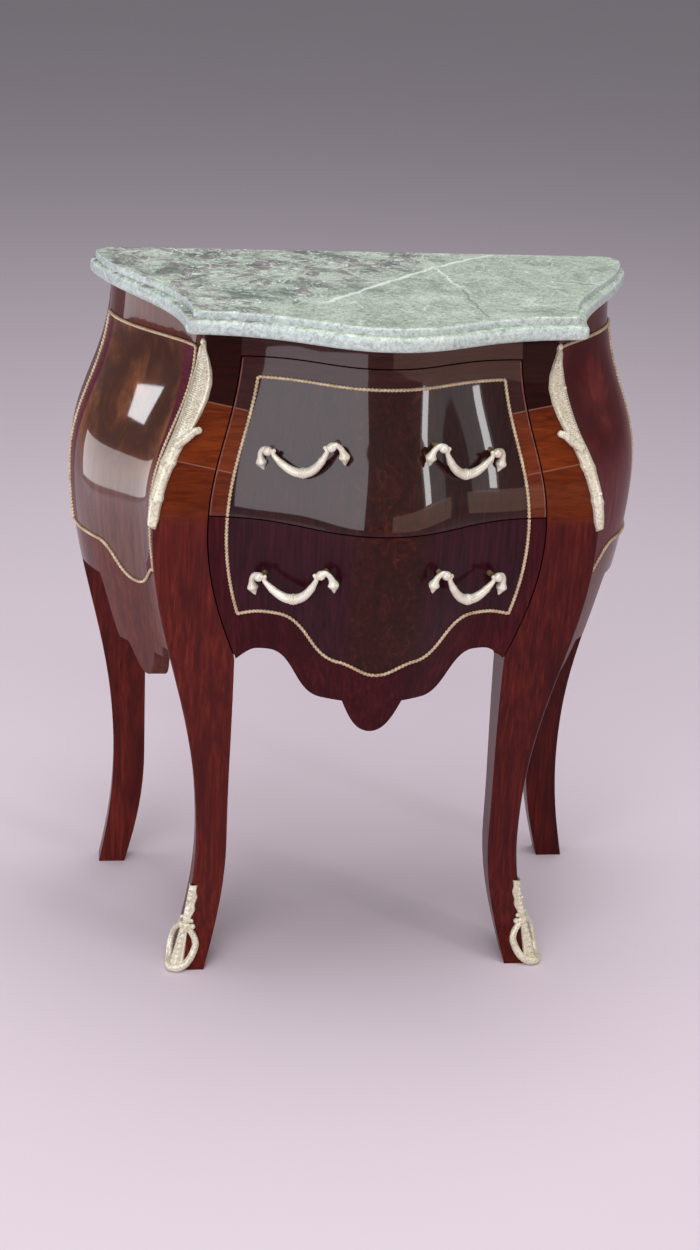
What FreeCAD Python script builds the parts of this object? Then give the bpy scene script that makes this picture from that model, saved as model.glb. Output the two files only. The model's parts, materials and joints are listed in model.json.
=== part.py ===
"""Small bombé commode chest: marble top, two drawers, cabriole legs and gilt brass mounts.

Millimetres, +Z up, the drawers open towards -Y. The origin lies on the floor under the middle of
the chest. Every left-hand piece is modelled, and its right-hand twin is its mirror image.
"""
import FreeCAD, Part
import math
import os
import re
from FreeCAD import Placement, Rotation, Vector

# Driving dimensions. A "half" is measured from the middle plane, a "depth" forward from the back face.
SIZES = {
    "overall_height": 780,
    "marble_thickness": 24,
    "belly_height": 540,
    "ankle_height": 155,
    # Front corner arris, from the case top down to the floor
    "arris_top_half": 188,
    "arris_belly_half": 241,
    "arris_ankle_half": 187,
    "arris_foot_half": 214,
    "corner_top_depth": 246,
    "corner_belly_depth": 284,
    "corner_ankle_depth": 255,
    "corner_foot_depth": 284,
    "arris_round": 4,
    # Drawer opening between the front posts
    "opening_top_half": 148,
    "opening_belly_half": 183,
    "opening_ankle_half": 96,
    "bow_top": 44,
    "bow_belly": 62,
    "bow_ankle": 20,
    # Front legs below the apron
    "stile_depth": 215,
    "front_ankle_inner_half": 152,
    "front_foot_inner_half": 177,
    "front_ankle_thickness": 38,
    "front_foot_thickness": 40,
    # Back legs
    "back_top_half": 282,
    "back_belly_half": 329,
    "back_ankle_half": 279,
    "back_foot_half": 297,
    "back_inner_half": 241,
    "back_foot_inner_half": 265,
    "back_leg_thickness": 45,
    "back_foot_thickness": 26,
    # Side panels and aprons
    "side_thickness": 18,
    "side_front_reach": 45,
    "side_back_reach": 85,
    "apron_corner_height": 389,
    "apron_arch_height": 404,
    "apron_step_height": 351,
    "apron_lobe_height": 311,
    "front_arch_half": 114,
    "front_step_half": 55,
    "front_lobe_half": 33,
    "side_lobe_forward": 24.5,
    "side_front_corner_height": 362,
    "side_front_arch_height": 366,
    "side_front_step_height": 352,
    "side_back_corner_height": 424,
    "side_back_arch_height": 428,
    "side_back_step_height": 352,
    "side_step_half": 28,
    "side_lobe_half": 17,
    "side_lobe_height": 318,
    # Marble outline
    "marble_front_depth": 352,
    "marble_corner_depth": 293,
    "marble_corner_half": 209,
    "marble_back_half": 311,
    "marble_back_overhang": 3,
    "marble_side_reach": 112,
    "marble_back_inset": 8,
    "marble_back_corner_round": 30,
    "marble_tip_round": 8,
    "marble_bead_thickness": 16,
    "marble_bead_round": 6,
    "marble_step_inset": 8,
    "marble_step_round": 2.5,
    # Drawers
    "front_thickness": 24,
    "split_height": 558,
    "drawer_top_drop": 58,
    "drawer_gap": 1.5,
    "running_gap": 0.3,
    "drawer_half": 142,
    "drawer_side_thickness": 10,
    "drawer_bottom_thickness": 5,
    "drawer_groove_height": 8,
    "drawer_groove_depth": 4,
    "upper_side_height": 132,
    "lower_side_height": 90,
    "drawer_back_drop": 8,
    "drawer_back_gap": 0.5,
    # Rails, runners and panels inside the case
    "rail_height": 16,
    "rail_front_depth": 246,
    "lower_rail_top_height": 446,
    "upper_rail_top_height": 565,
    "runner_inner_half": 110,
    "runner_outer_half": 158,
    "guide_height": 20,
    "kicker_inner_half": 112,
    "kicker_thickness": 28,
    "kicker_gap": 1,
    "back_rail_height": 40,
    "back_rail_thickness": 24,
    "back_panel_thickness": 8,
    "bottom_panel_thickness": 5,
    # Brass borders
    "border_width": 4.2,
    "border_relief": 2.4,
    "border_bed": 0.3,
    "border_inset": 18.5,
    "border_top_drop": 76,
    "border_corner_height": 444,
    "border_arch_height": 450,
    "border_step_height": 402,
    "border_tip_height": 388,
    "border_arch_half": 106,
    "border_step_half": 38,
    "side_border_front_inset": 2,
    "side_border_back_inset": 11,
    "side_border_top_drop": 58,
    "side_border_front_corner_height": 466,
    "side_border_back_corner_height": 472,
    "side_border_dip_height": 438,
    "side_border_dip_forward": 39.5,
    "side_border_dip_half": 46,
    # Bail pulls
    "upper_pull_half": 83,
    "lower_pull_half": 90,
    "upper_pull_height": 640,
    "lower_pull_height": 507,
    "pull_tilt_degrees": 12,
    "pull_spacing": 72,
    "pull_standoff": 16,
    "pull_head_radius": 5.2,
    "pull_neck_radius": 2.6,
    "pull_flange_radius": 4.4,
    "pull_flange_rise": 4.2,
    "pull_flange_reach": 9,
    "pull_stem_radius": 2.2,
    "pull_stem_length": 46,
    "pull_pin_radius": 1.6,
    "pull_pin_length": 4,
    "pull_pin_clearance": 0.05,
    "pull_leaf_drop": 21,
    "pull_leaf_spread": 11,
    "pull_leaf_radius": 4.2,
    "bail_drop": 25,
    "bail_end_radius": 2.3,
    "bail_middle_radius": 5.4,
    "bail_collar_radius": 6.2,
    "bail_collar_thickness": 1.6,
    "nut_radius": 4.6,
    "nut_height": 4,
    "nut_seat_radius": 7.5,
    "nut_seat_depth": 13,
    "hole_clearance": 0.2,
    # Corner mounts and sabots
    "mount_relief": 5,
    "mount_top_drop": 36,
    "mount_length": 201,
    "mount_half_width": 13,
    "sabot_relief": 6.5,
    "sabot_height": 100,
    "sabot_loop_height": 56,
    "sabot_loop_half": 18,
    "sabot_band_width": 7,
    "sabot_spear_half": 6,
    "pin_head_radius": 1.8,
    "pin_shank_radius": 0.8,
    "pin_length": 16,
    # One overrun serves every cut
    "overrun": 60,
}

# Where the handles of the swelling profile lie, as shares of each stretch of its height
TOP_REACH_SHARE = 0.48
BELLY_RISE_SHARE = 0.40
BELLY_FALL_SHARE = 0.35
ANKLE_REACH_SHARE = 0.45
FOOT_DROP_SHARE = 0.45
FOOT_RISE_SHARE = 0.23
FOOT_FLARE_SHARE = 0.62

# Where the handles of the serpentine front lie, as shares of the half width
FLANK_SHARE = 0.50
CROWN_SHARE = 0.40
# Where a side apron's arch stands between its lobe and the leg
SIDE_ARCH_SHARE = 0.15
# Where the handles of the marble's front edge lie, as shares of its half width
MARBLE_FLANK_SHARE = 0.46
MARBLE_CROWN_SHARE = 0.35

doc = FreeCAD.newDocument("commode_chest")
sheet = doc.addObject("Spreadsheet::Sheet", "Sizes")
for row, (alias, number) in enumerate(SIZES.items(), start=1):
    sheet.set(f"A{row}", alias)
    sheet.set(f"B{row}", str(number))
    sheet.setAlias(f"B{row}", alias)
doc.recompute()

nodes = []


def size(alias):
    """A driving dimension as the sheet holds it."""
    return float(sheet.get(alias))


def formula(text):
    """The expression with each dimension's name pointing at the sheet."""
    return re.sub(r"[a-z_]+", lambda word: f"Sizes.{word[0]}" if word[0] in SIZES else word[0], text)


def keep(piece, label):
    """Names a finished sub-part and lists it for export."""
    piece.Label = label
    nodes.append(piece)
    return piece


def shaped(label, shape, placement=Placement()):
    """A sub-part or a helper whose shape is worked out from the sheet by code."""
    piece = doc.addObject("Part::Feature", label)
    piece.Shape = shape
    piece.Placement = placement
    return piece


def mirrored(piece, label):
    """The right-hand twin of a left-hand sub-part."""
    twin = doc.addObject("Part::Mirroring", label)
    twin.Source = piece
    twin.Normal = Vector(1, 0, 0)
    return keep(twin, label)


def board(label, across, along, upward):
    """A box between two formulas on each axis, bound to the sheet."""
    piece = doc.addObject("Part::Box", label)
    spans = (("Length", "x", across), ("Width", "y", along), ("Height", "z", upward))
    for edge, axis, (low, high) in spans:
        piece.setExpression(edge, formula(f"({high}) - ({low})"))
        piece.setExpression(f"Placement.Base.{axis}", formula(low))
    return piece


def cut(label, base, *tools):
    """The base with each tool taken away in turn."""
    for number, tool in enumerate(tools):
        piece = doc.addObject("Part::Cut", f"{label}_cut_{number}")
        piece.Base = base
        piece.Tool = tool
        base = piece
    return base


# Formulas that several pieces share
BACK = "((marble_front_depth - marble_back_overhang) / 2)"
CASE_TOP = "(overall_height - marble_thickness)"
STILE = f"({BACK} - stile_depth)"
BACK_LEG_FRONT = f"({BACK} - back_leg_thickness)"
BACK_PANEL_FRONT = f"({BACK} - back_panel_thickness)"

back_y = (size("marble_front_depth") - size("marble_back_overhang")) / 2
case_top = size("overall_height") - size("marble_thickness")
drawer_top = size("overall_height") - size("drawer_top_drop")
belly = size("belly_height")
ankle = size("ankle_height")
stile_y = back_y - size("stile_depth")
back_leg_front_y = back_y - size("back_leg_thickness")
overrun = size("overrun")


# Curves. A curve is a list of stretches, each two poles of a line or four of a cubic.

def split_stretch(poles, share):
    """Both parts of a stretch, divided at a share of its parameter."""
    front, back, level = [poles[0]], [poles[-1]], list(poles)
    while len(level) > 1:
        level = [a + (b - a) * share for a, b in zip(level, level[1:])]
        front.append(level[0])
        back.insert(0, level[-1])
    return front, back


def share_at(poles, target, measure):
    """The share of a stretch at which a steadily falling measure reaches the target."""
    low, high = 0.0, 1.0
    for _ in range(60):
        middle = (low + high) / 2
        if measure(split_stretch(poles, middle)[0][-1]) > target:
            low = middle
        else:
            high = middle
    return (low + high) / 2


def between(curve, high, low):
    """The part of a falling curve that lies between two heights."""
    kept = []
    for poles in curve:
        top, bottom = poles[0].z, poles[-1].z
        if top <= low or bottom >= high:
            continue
        if top > high:
            poles = split_stretch(poles, share_at(poles, high, lambda point: point.z))[1]
        if bottom < low:
            poles = split_stretch(poles, share_at(poles, low, lambda point: point.z))[0]
        kept.append(poles)
    return kept


def point_at(curve, height):
    """The point of a falling curve at a height."""
    for poles in curve:
        if poles[0].z >= height >= poles[-1].z:
            return split_stretch(poles, share_at(poles, height, lambda point: point.z))[0][-1]
    raise ValueError(f"the curve doesn't reach {height}")


def moved(curve, shift):
    return [[pole + shift for pole in poles] for poles in curve]


def flipped(curve):
    """The curve mirrored across the middle plane and run the other way."""
    mirror = [[Vector(-pole.x, pole.y, pole.z) for pole in poles] for poles in curve]
    return [poles[::-1] for poles in mirror[::-1]]


def reverse(curve):
    return [poles[::-1] for poles in curve[::-1]]


def line(start, end):
    return [start, end]


def start_of(curve):
    return curve[0][0]


def end_of(curve):
    return curve[-1][-1]


def geometry(poles):
    """A line segment or a cubic spline from its poles."""
    if len(poles) == 2:
        return Part.LineSegment(*poles)
    cubic = Part.BezierCurve()
    cubic.setPoles(poles)
    return cubic.toBSpline()


def outline_face(curve):
    """The flat face inside a closed curve."""
    edges = [geometry(poles).toShape() for poles in curve]
    return Part.Face(Part.Wire(Part.__sortEdges__(edges)))


# The swelling profile: four levels of poles down the case, two more stretches down to the floor.

UPPER_LEVELS = [
    case_top,
    case_top - TOP_REACH_SHARE * (case_top - belly),
    belly + BELLY_RISE_SHARE * (case_top - belly),
    belly,
]
LOWER_LEVELS = [
    belly,
    belly - BELLY_FALL_SHARE * (belly - ankle),
    ankle + ANKLE_REACH_SHARE * (belly - ankle),
    ankle,
]
# Six levels hold both stretches as one smooth spline, with these knots.
SPLINE_LEVELS = UPPER_LEVELS[:3] + LOWER_LEVELS[1:]
LEVEL_KNOTS = [0.0, UPPER_LEVELS[2] - belly, UPPER_LEVELS[2] - LOWER_LEVELS[1]]


def swell(place, top, middle, low):
    """A profile that leaves the top upright, is fullest at the belly and slimmest at the ankle."""
    upper = [place(v, z) for v, z in zip((top, top, middle, middle), UPPER_LEVELS)]
    lower = [place(v, z) for v, z in zip((middle, middle, low, low), LOWER_LEVELS)]
    return [upper, lower]


def foot(place, slim, floor):
    """The last stretch of a leg, from the upright ankle to the flared foot."""
    flare = slim + FOOT_FLARE_SHARE * (floor - slim)
    levels = (ankle, ankle * (1 - FOOT_DROP_SHARE), ankle * FOOT_RISE_SHARE, 0.0)
    return [place(v, z) for v, z in zip((slim, slim, flare, floor), levels)]


def shank(place, knee, knee_height, slim):
    """The stretch of a leg's hidden edge from the apron down to the ankle."""
    fall = knee_height - ankle
    levels = (knee_height, knee_height - FLANK_SHARE * fall, ankle + ANKLE_REACH_SHARE * fall, ankle)
    return [place(v, z) for v, z in zip((knee, knee, slim, slim), levels)]


def in_front(half, height):
    """A point of the front elevation, on the left-hand side."""
    return Vector(-half, 0, height)


def in_side(depth, height):
    """A point of the side elevation, measured forward from the back face."""
    return Vector(0, back_y - depth, height)


opening = swell(in_front, size("opening_top_half"), size("opening_belly_half"), size("opening_ankle_half"))
arris_front = swell(in_front, size("arris_top_half"), size("arris_belly_half"), size("arris_ankle_half"))
arris_side = swell(in_side, size("corner_top_depth"), size("corner_belly_depth"), size("corner_ankle_depth"))
back_outer = swell(in_front, size("back_top_half"), size("back_belly_half"), size("back_ankle_half"))


# Legs, sawn from two faces

def sketch_on(body, role, label, curve):
    """A sketch on one of the body's own planes, drawn from points of the whole chest."""
    sketch = body.newObject("Sketcher::SketchObject", label)
    plane = [item for item in body.Origin.OriginFeatures if item.Role == role][0]
    sketch.AttachmentSupport = (plane, [""])
    sketch.MapMode = "FlatFace"
    doc.recompute()
    to_sketch = sketch.Placement.inverse()
    for poles in curve:
        sketch.addGeometry(geometry([to_sketch.multVec(pole) for pole in poles]), False)
    return sketch


def pad_both_ways(body, sketch, label, length):
    pad = body.newObject("PartDesign::Pad", label)
    pad.Profile = sketch
    pad.SideType = "Symmetric"
    pad.setExpression("Length", formula(length))
    return pad


def pocket_both_ways(body, sketch, label):
    pocket = body.newObject("PartDesign::Pocket", label)
    pocket.Profile = sketch
    pocket.Type = "ThroughAll"
    pocket.SideType = "Symmetric"
    return pocket


def waste(curve, outward):
    """The closed loop on one side of a falling curve, with room above and below it."""
    above = start_of(curve) + Vector(0, 0, overrun)
    below = end_of(curve) - Vector(0, 0, overrun)
    loop = [line(above, start_of(curve))] + curve + [line(end_of(curve), below)]
    loop += [line(below, below + outward), line(below + outward, above + outward)]
    return loop + [line(above + outward, above)]


def sawn_leg(label, elevation, *side_waste):
    """A leg padded from its front elevation and sawn to shape from the side."""
    body = doc.addObject("PartDesign::Body", label)
    pad_both_ways(body, sketch_on(body, "XZ_Plane", f"{label}_elevation", elevation),
                  f"{label}_pad", "2 * marble_front_depth")
    loops = [poles for loop in side_waste for poles in loop]
    pocket_both_ways(body, sketch_on(body, "YZ_Plane", f"{label}_profile", loops), f"{label}_sawcut")
    doc.recompute()
    return body


def front_leg():
    corner = size("apron_corner_height")
    knee = point_at(opening, corner)
    slim, floor = size("front_ankle_inner_half"), size("front_foot_inner_half")
    outer = arris_front + [foot(in_front, size("arris_ankle_half"), size("arris_foot_half"))]
    inner = between(opening, case_top, corner)
    inner += [shank(in_front, -knee.x, corner, slim), foot(in_front, slim, floor)]
    elevation = outer + [line(end_of(outer), end_of(inner))] + reverse(inner)
    elevation += [line(start_of(inner), start_of(outer))]

    face = arris_side + [foot(in_side, size("corner_ankle_depth"), size("corner_foot_depth"))]
    slim = size("corner_ankle_depth") - size("front_ankle_thickness")
    floor = size("corner_foot_depth") - size("front_foot_thickness")
    knee_low = size("side_front_corner_height")
    rear = [line(in_side(size("stile_depth"), case_top), in_side(size("stile_depth"), knee_low))]
    rear += [shank(in_side, size("stile_depth"), knee_low, slim), foot(in_side, slim, floor)]
    reach = Vector(0, 2 * size("marble_front_depth"), 0)
    leg = sawn_leg("front_left_leg", elevation, waste(face, -reach), waste(rear, reach))

    arris = []
    for number, edge in enumerate(leg.Shape.Edges, start=1):
        middle = edge.valueAt((edge.FirstParameter + edge.LastParameter) / 2)
        inside = 0 < middle.z < case_top
        if not inside:
            continue
        x_edge = point_at(outer, middle.z).x
        y_edge = point_at(face, middle.z).y
        near = math.hypot(middle.x - x_edge, middle.y - y_edge)
        if near < size("arris_round") / 2:
            arris.append(f"Edge{number}")
    sawcut = leg.Tip
    rounding = leg.newObject("PartDesign::Fillet", "front_left_leg_arris")
    rounding.Base = (sawcut, arris)
    rounding.setExpression("Radius", formula("arris_round"))
    doc.recompute()
    return keep(leg, "front_left_leg")


def back_leg():
    corner = size("side_back_corner_height")
    inner_half, floor = size("back_inner_half"), size("back_foot_inner_half")
    outer = back_outer + [foot(in_front, size("back_ankle_half"), size("back_foot_half"))]
    inner = [line(in_front(inner_half, case_top), in_front(inner_half, ankle))]
    inner += [foot(in_front, inner_half, floor)]
    elevation = outer + [line(end_of(outer), end_of(inner))] + reverse(inner)
    elevation += [line(start_of(inner), start_of(outer))]

    thickness = size("back_leg_thickness")
    face = [line(in_side(thickness, case_top), in_side(thickness, corner))]
    face += [shank(in_side, thickness, corner, size("back_foot_thickness"))]
    face += [line(end_of(face), in_side(size("back_foot_thickness"), 0))]
    rear = [line(in_side(0, case_top), in_side(0, 0))]
    reach = Vector(0, 2 * size("marble_front_depth"), 0)
    leg = sawn_leg("back_left_leg", elevation, waste(face, -reach), waste(rear, reach))
    return keep(leg, "back_left_leg")


front_left_leg = front_leg()
front_right_leg = mirrored(front_left_leg, "front_right_leg")
back_left_leg = back_leg()
back_right_leg = mirrored(back_left_leg, "back_right_leg")


# Bombé surfaces, as splines whose poles follow the swelling profile

def bombe_face(columns, column_multiplicities, column_knots):
    """A smooth face through columns of poles, each column given at the six levels."""
    surface = Part.BSplineSurface()
    surface.buildFromPolesMultsKnots(
        columns, column_multiplicities, [4, 2, 4], column_knots, LEVEL_KNOTS, False, False, 3, 3)
    return surface.toShape()


def six(top, middle, low):
    """A swelling value at the six levels."""
    return [top, top, middle, middle, low, low]


def front_face():
    """The serpentine, bombé front from post to post."""
    halves = six(size("opening_top_half"), size("opening_belly_half"), size("opening_ankle_half"))
    depths = six(size("corner_top_depth"), size("corner_belly_depth"), size("corner_ankle_depth"))
    bows = six(size("bow_top"), size("bow_belly"), size("bow_ankle"))
    columns = []
    plan = ((-1, 0), (-FLANK_SHARE, 0), (-CROWN_SHARE, 1), (CROWN_SHARE, 1), (FLANK_SHARE, 0), (1, 0))
    for share, crown in plan:
        rows = zip(halves, depths, bows, SPLINE_LEVELS)
        columns.append([Vector(share * half, back_y - depth - crown * bow, level)
                        for half, depth, bow, level in rows])
    return bombe_face(columns, [4, 2, 4], [0, 1, 2])


def side_face():
    """The left side's outer face, from the front post to the back leg, in a flat S in plan."""
    fronts = six(size("arris_top_half"), size("arris_belly_half"), size("arris_ankle_half"))
    backs = six(size("back_top_half"), size("back_belly_half"), size("back_ankle_half"))
    plan = (
        (fronts, stile_y),
        (fronts, stile_y + size("side_front_reach")),
        (backs, back_leg_front_y - size("side_back_reach")),
        (backs, back_leg_front_y),
    )
    columns = [[Vector(-half, y, z) for half, z in zip(halves, SPLINE_LEVELS)] for halves, y in plan]
    return bombe_face(columns, [4, 4], [0, 1])


front_skin = front_face()
side_skin = side_face()


def front_y(x, height):
    """Where the front's outer face lies at a place of the front elevation."""
    reach = size("marble_front_depth")
    ray = Part.LineSegment(Vector(x, -reach, height), Vector(x, reach, height)).toShape()
    return ray.distToShape(front_skin)[1][0][0].y


def prism_along_y(curve):
    """The solid that an outline of the front elevation sweeps through the whole chest."""
    length = 2 * size("marble_front_depth")
    return outline_face(moved(curve, Vector(0, -length / 2, 0))).extrude(Vector(0, length, 0))


def prism_along_x(curve):
    """The solid that an outline of the left side's elevation sweeps through that side."""
    length = 2 * size("back_belly_half")
    return outline_face(moved(curve, Vector(-length, 0, 0))).extrude(Vector(length, 0, 0))


def scallop(place, corner, corner_height, arch_half, arch_height, step_half, step_height, lobe):
    """Half an apron's lower edge, from its corner to the middle, where a lobe or a point hangs."""
    rise = (corner - arch_half) * FLANK_SHARE
    swing = (arch_half - step_half) * FLANK_SHARE
    curve = [
        [(corner, corner_height), (corner - rise, arch_height), (arch_half + rise, arch_height),
         (arch_half, arch_height)],
        [(arch_half, arch_height), (arch_half - swing, arch_height), (step_half + swing, step_height),
         (step_half, step_height)],
    ]
    curve += lobe
    return [[place(v, z) for v, z in poles] for poles in curve]


def lobe_of(step_half, step_height, lobe_half, lobe_height):
    """A hanging tongue: a short level step, then a round drop to the middle."""
    fall = (step_height - lobe_height) * FLANK_SHARE
    return [
        [(step_half, step_height), (lobe_half, step_height)],
        [(lobe_half, step_height), (lobe_half - fall * CROWN_SHARE, step_height - fall),
         (lobe_half * FLANK_SHARE, lobe_height), (0, lobe_height)],
    ]


# Side panels

lobe_y = (stile_y + back_leg_front_y) / 2 - size("side_lobe_forward")


def forward_of_lobe(offset, height):
    """A point of the side elevation, measured forward from the apron lobe's middle."""
    return Vector(0, lobe_y - offset, height)


def behind_lobe(offset, height):
    """A point of the side elevation, measured back from the apron lobe's middle."""
    return Vector(0, lobe_y + offset, height)


def side_scallop(end, place, reach):
    """A side apron's lower edge on one side of its lobe, from the leg there to the lobe's middle."""
    step_half, step = size("side_step_half"), size(f"side_{end}_step_height")
    arch_half = step_half + SIDE_ARCH_SHARE * (reach - step_half)
    lobe = lobe_of(step_half, step, size("side_lobe_half"), size("side_lobe_height"))
    return scallop(place, reach, size(f"side_{end}_corner_height"), arch_half,
                   size(f"side_{end}_arch_height"), step_half, step, lobe)


def side_panel():
    lower = side_scallop("front", forward_of_lobe, lobe_y - stile_y)
    lower += reverse(side_scallop("back", behind_lobe, back_leg_front_y - lobe_y))
    high = Vector(0, 0, case_top + overrun)
    corners = [Vector(0, y, 0) + high for y in (back_leg_front_y, stile_y)]
    loop = lower + [line(end_of(lower), corners[0]), line(corners[0], corners[1])]
    loop += [line(corners[1], start_of(lower))]
    thick = side_skin.extrude(Vector(size("side_thickness"), 0, 0))
    return keep(shaped("left_side_panel", thick.common(prism_along_x(loop))), "left_side_panel")


left_side_panel = side_panel()
right_side_panel = mirrored(left_side_panel, "right_side_panel")


# Drawer fronts and the rail above them

front_slab = front_skin.extrude(Vector(0, size("front_thickness"), 0))
gap = size("drawer_gap")


def drawer_edges(high, low, inset):
    """The left and right edges of the opening between two heights, drawn in by an inset."""
    left = moved(between(opening, high, low), Vector(inset, 0, 0))
    return left, flipped(left)


def closed_front(left, right):
    """A loop of the front elevation: left edge down, straight across, right edge up and back."""
    return left + [line(end_of(left), start_of(right))] + right + [line(end_of(right), start_of(left))]


def upper_front():
    left, right = drawer_edges(drawer_top, size("split_height") + gap / 2, gap)
    return front_slab.common(prism_along_y(closed_front(left, right)))


def lower_front():
    left, right = drawer_edges(size("split_height") - gap / 2, size("apron_corner_height"), gap)
    lobe = lobe_of(size("front_step_half"), size("apron_step_height"),
                   size("front_lobe_half"), size("apron_lobe_height"))
    edge = scallop(in_front, -end_of(left).x, size("apron_corner_height"), size("front_arch_half"),
                   size("apron_arch_height"), size("front_step_half"), size("apron_step_height"), lobe)
    loop = left + edge + flipped(edge) + right + [line(end_of(right), start_of(left))]
    return front_slab.common(prism_along_y(loop))


def top_front_rail():
    """A plank sawn to the bowed front and to the posts, with a straight back edge."""
    low = drawer_top + gap
    left, right = drawer_edges(case_top, low, 0)
    plank = front_skin.extrude(Vector(0, size("marble_front_depth"), 0))
    plank = plank.common(prism_along_y(closed_front(left, right)))
    reach = 2 * size("overall_height")
    behind = Part.makeBox(reach, reach, reach, Vector(-reach / 2, stile_y, 0))
    return keep(shaped("top_front_rail", plank.cut(behind)), "top_front_rail")


top_front_rail()


# Rails, panels and runners inside the case

def rail(label, top):
    """A straight rail between the front posts, cut to their curved inner edges."""
    half = "(opening_belly_half + arris_belly_half) / 2"
    plank = board(f"{label}_plank", (f"-{half}", half), (f"{BACK} - rail_front_depth", STILE),
                  (f"{top} - rail_height", top))
    return keep(cut(label, plank, front_left_leg, front_right_leg), label)


rail("middle_front_rail", "upper_rail_top_height")
rail("bottom_front_rail", "lower_rail_top_height")

keep(board("back_panel", ("-back_inner_half", "back_inner_half"), (BACK_PANEL_FRONT, BACK),
           ("side_back_corner_height", CASE_TOP)), "back_panel")
keep(board("top_back_rail", ("-back_inner_half", "back_inner_half"),
           (f"{BACK_PANEL_FRONT} - back_rail_thickness", BACK_PANEL_FRONT),
           (f"{CASE_TOP} - back_rail_height", CASE_TOP)), "top_back_rail")


def runner(label, top):
    """An L-shaped runner with its guide, from the front rail to the back panel."""
    flat = board(f"{label}_flat", ("-runner_outer_half", "-runner_inner_half"), (STILE, BACK_PANEL_FRONT),
                 (f"{top} - rail_height", top))
    guide = board(f"{label}_guide", ("-runner_outer_half", "-drawer_half - running_gap"),
                  (STILE, BACK_PANEL_FRONT), (top, f"{top} + guide_height"))
    piece = doc.addObject("Part::Fuse", label)
    piece.Base = flat
    piece.Tool = guide
    piece.Refine = True
    return keep(piece, label)


for level in ("upper", "lower"):
    left_runner = runner(f"{level}_left_runner", f"{level}_rail_top_height")
    mirrored(left_runner, f"{level}_right_runner")

KICKER_BOTTOM = "(upper_rail_top_height + running_gap + upper_side_height + kicker_gap)"
left_kicker = keep(board("left_kicker", ("-kicker_inner_half - kicker_thickness", "-kicker_inner_half"),
                         (STILE, f"{BACK_PANEL_FRONT} - back_rail_thickness"), (KICKER_BOTTOM, CASE_TOP)),
                   "left_kicker")
mirrored(left_kicker, "right_kicker")


def bottom_panel():
    """A thin board under the lower runners, cut to the bombé sides and the back legs."""
    plank = board("bottom_plank", ("-back_belly_half", "back_belly_half"), (STILE, BACK_PANEL_FRONT),
                  ("lower_rail_top_height - rail_height - bottom_panel_thickness",
                   "lower_rail_top_height - rail_height"))
    inner = side_skin.translated(Vector(size("side_thickness"), 0, 0))
    beyond = inner.extrude(Vector(-2 * size("back_belly_half"), 0, 0))
    other = beyond.mirror(Vector(), Vector(1, 0, 0))
    tools = [shaped("left_of_case", beyond), shaped("right_of_case", other)]
    for label, span in (("left", ("-2 * back_belly_half", "-back_inner_half")),
                        ("right", ("back_inner_half", "2 * back_belly_half"))):
        tools.append(board(f"{label}_back_corner", span, (BACK_LEG_FRONT, BACK), ("0", CASE_TOP)))
    return keep(cut("bottom_panel", plank, *tools), "bottom_panel")


bottom_panel()


# Bail pulls. In a pull's own frame X runs from post to post, Y goes into the drawer and Z is up.

def pull_placement(middle, height):
    """The frame of a left-hand pull, on the line between its two post heads."""
    half = size("pull_spacing") / 2
    outer = front_y(-middle - half, height)
    inner = front_y(-middle + half, height)
    turn = math.degrees(math.atan2(inner - outer, 2 * half))
    rotation = Rotation(Vector(0, 0, 1), turn) * Rotation(Vector(0, 1, 0), -size("pull_tilt_degrees"))
    foot_point = Vector(-middle, (outer + inner) / 2, height)
    outward = rotation.multVec(Vector(0, -1, 0))
    return Placement(foot_point + outward * size("pull_standoff"), rotation)


def tapered_tube(path, radii):
    """A round bar of changing radius along a list of points in a pull's X and Z plane."""
    rings = []
    for number, (point, radius) in enumerate(zip(path, radii)):
        before = path[max(number - 1, 0)]
        after = path[min(number + 1, len(path) - 1)]
        circle = Part.Circle(point, after - before, radius)
        circle.XAxis = Vector(0, 1, 0)
        rings.append(Part.Wire(circle.toShape()))
    return Part.makeLoft(rings, True, False)


def cylinder_y(radius, start, end, x=0.0):
    return Part.makeCylinder(radius, end - start, Vector(x, start, 0), Vector(0, 1, 0))


# The leaf's bend, as shares of its spread and drop, with its radius as shares of its widest
LEAF_SHARES = ((0.0, 0.0, 0.62), (0.55, 0.06, 0.56), (0.92, 0.30, 0.56), (1.0, 0.62, 1.0), (0.90, 1.0, 0.16))


def pull_post(side):
    """One cast post with its drooping leaf, screwed through the drawer front."""
    x = side * size("pull_spacing") / 2
    standoff = size("pull_standoff")
    body = Part.makeSphere(size("pull_head_radius"), Vector(x, 0, 0), Vector(1, 0, 0))
    body = body.fuse(cylinder_y(size("pull_neck_radius"), 0, standoff, x))
    body = body.fuse(cylinder_y(size("pull_flange_radius"), standoff - size("pull_flange_rise"),
                                standoff + size("pull_flange_reach"), x))
    body = body.fuse(cylinder_y(size("pull_stem_radius"), 0, size("pull_stem_length"), x))
    spread, drop = side * size("pull_leaf_spread"), size("pull_leaf_drop")
    path = [Vector(x + spread * out, 0, -drop * down) for out, down, _ in LEAF_SHARES]
    radii = [size("pull_leaf_radius") * wide for _, _, wide in LEAF_SHARES]
    body = body.fuse(tapered_tube(path, radii))
    bore = size("pull_pin_radius") + size("pull_pin_clearance")
    depth = size("pull_head_radius") + size("pull_pin_length")
    eye = Part.makeCylinder(bore, depth, Vector(x - side * depth, 0, 0), Vector(side, 0, 0))
    return body.cut(eye).removeSplitter()


# How flat the bail's sag is at its middle: 2 is a parabola
BAIL_POWER = 2.3


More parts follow.
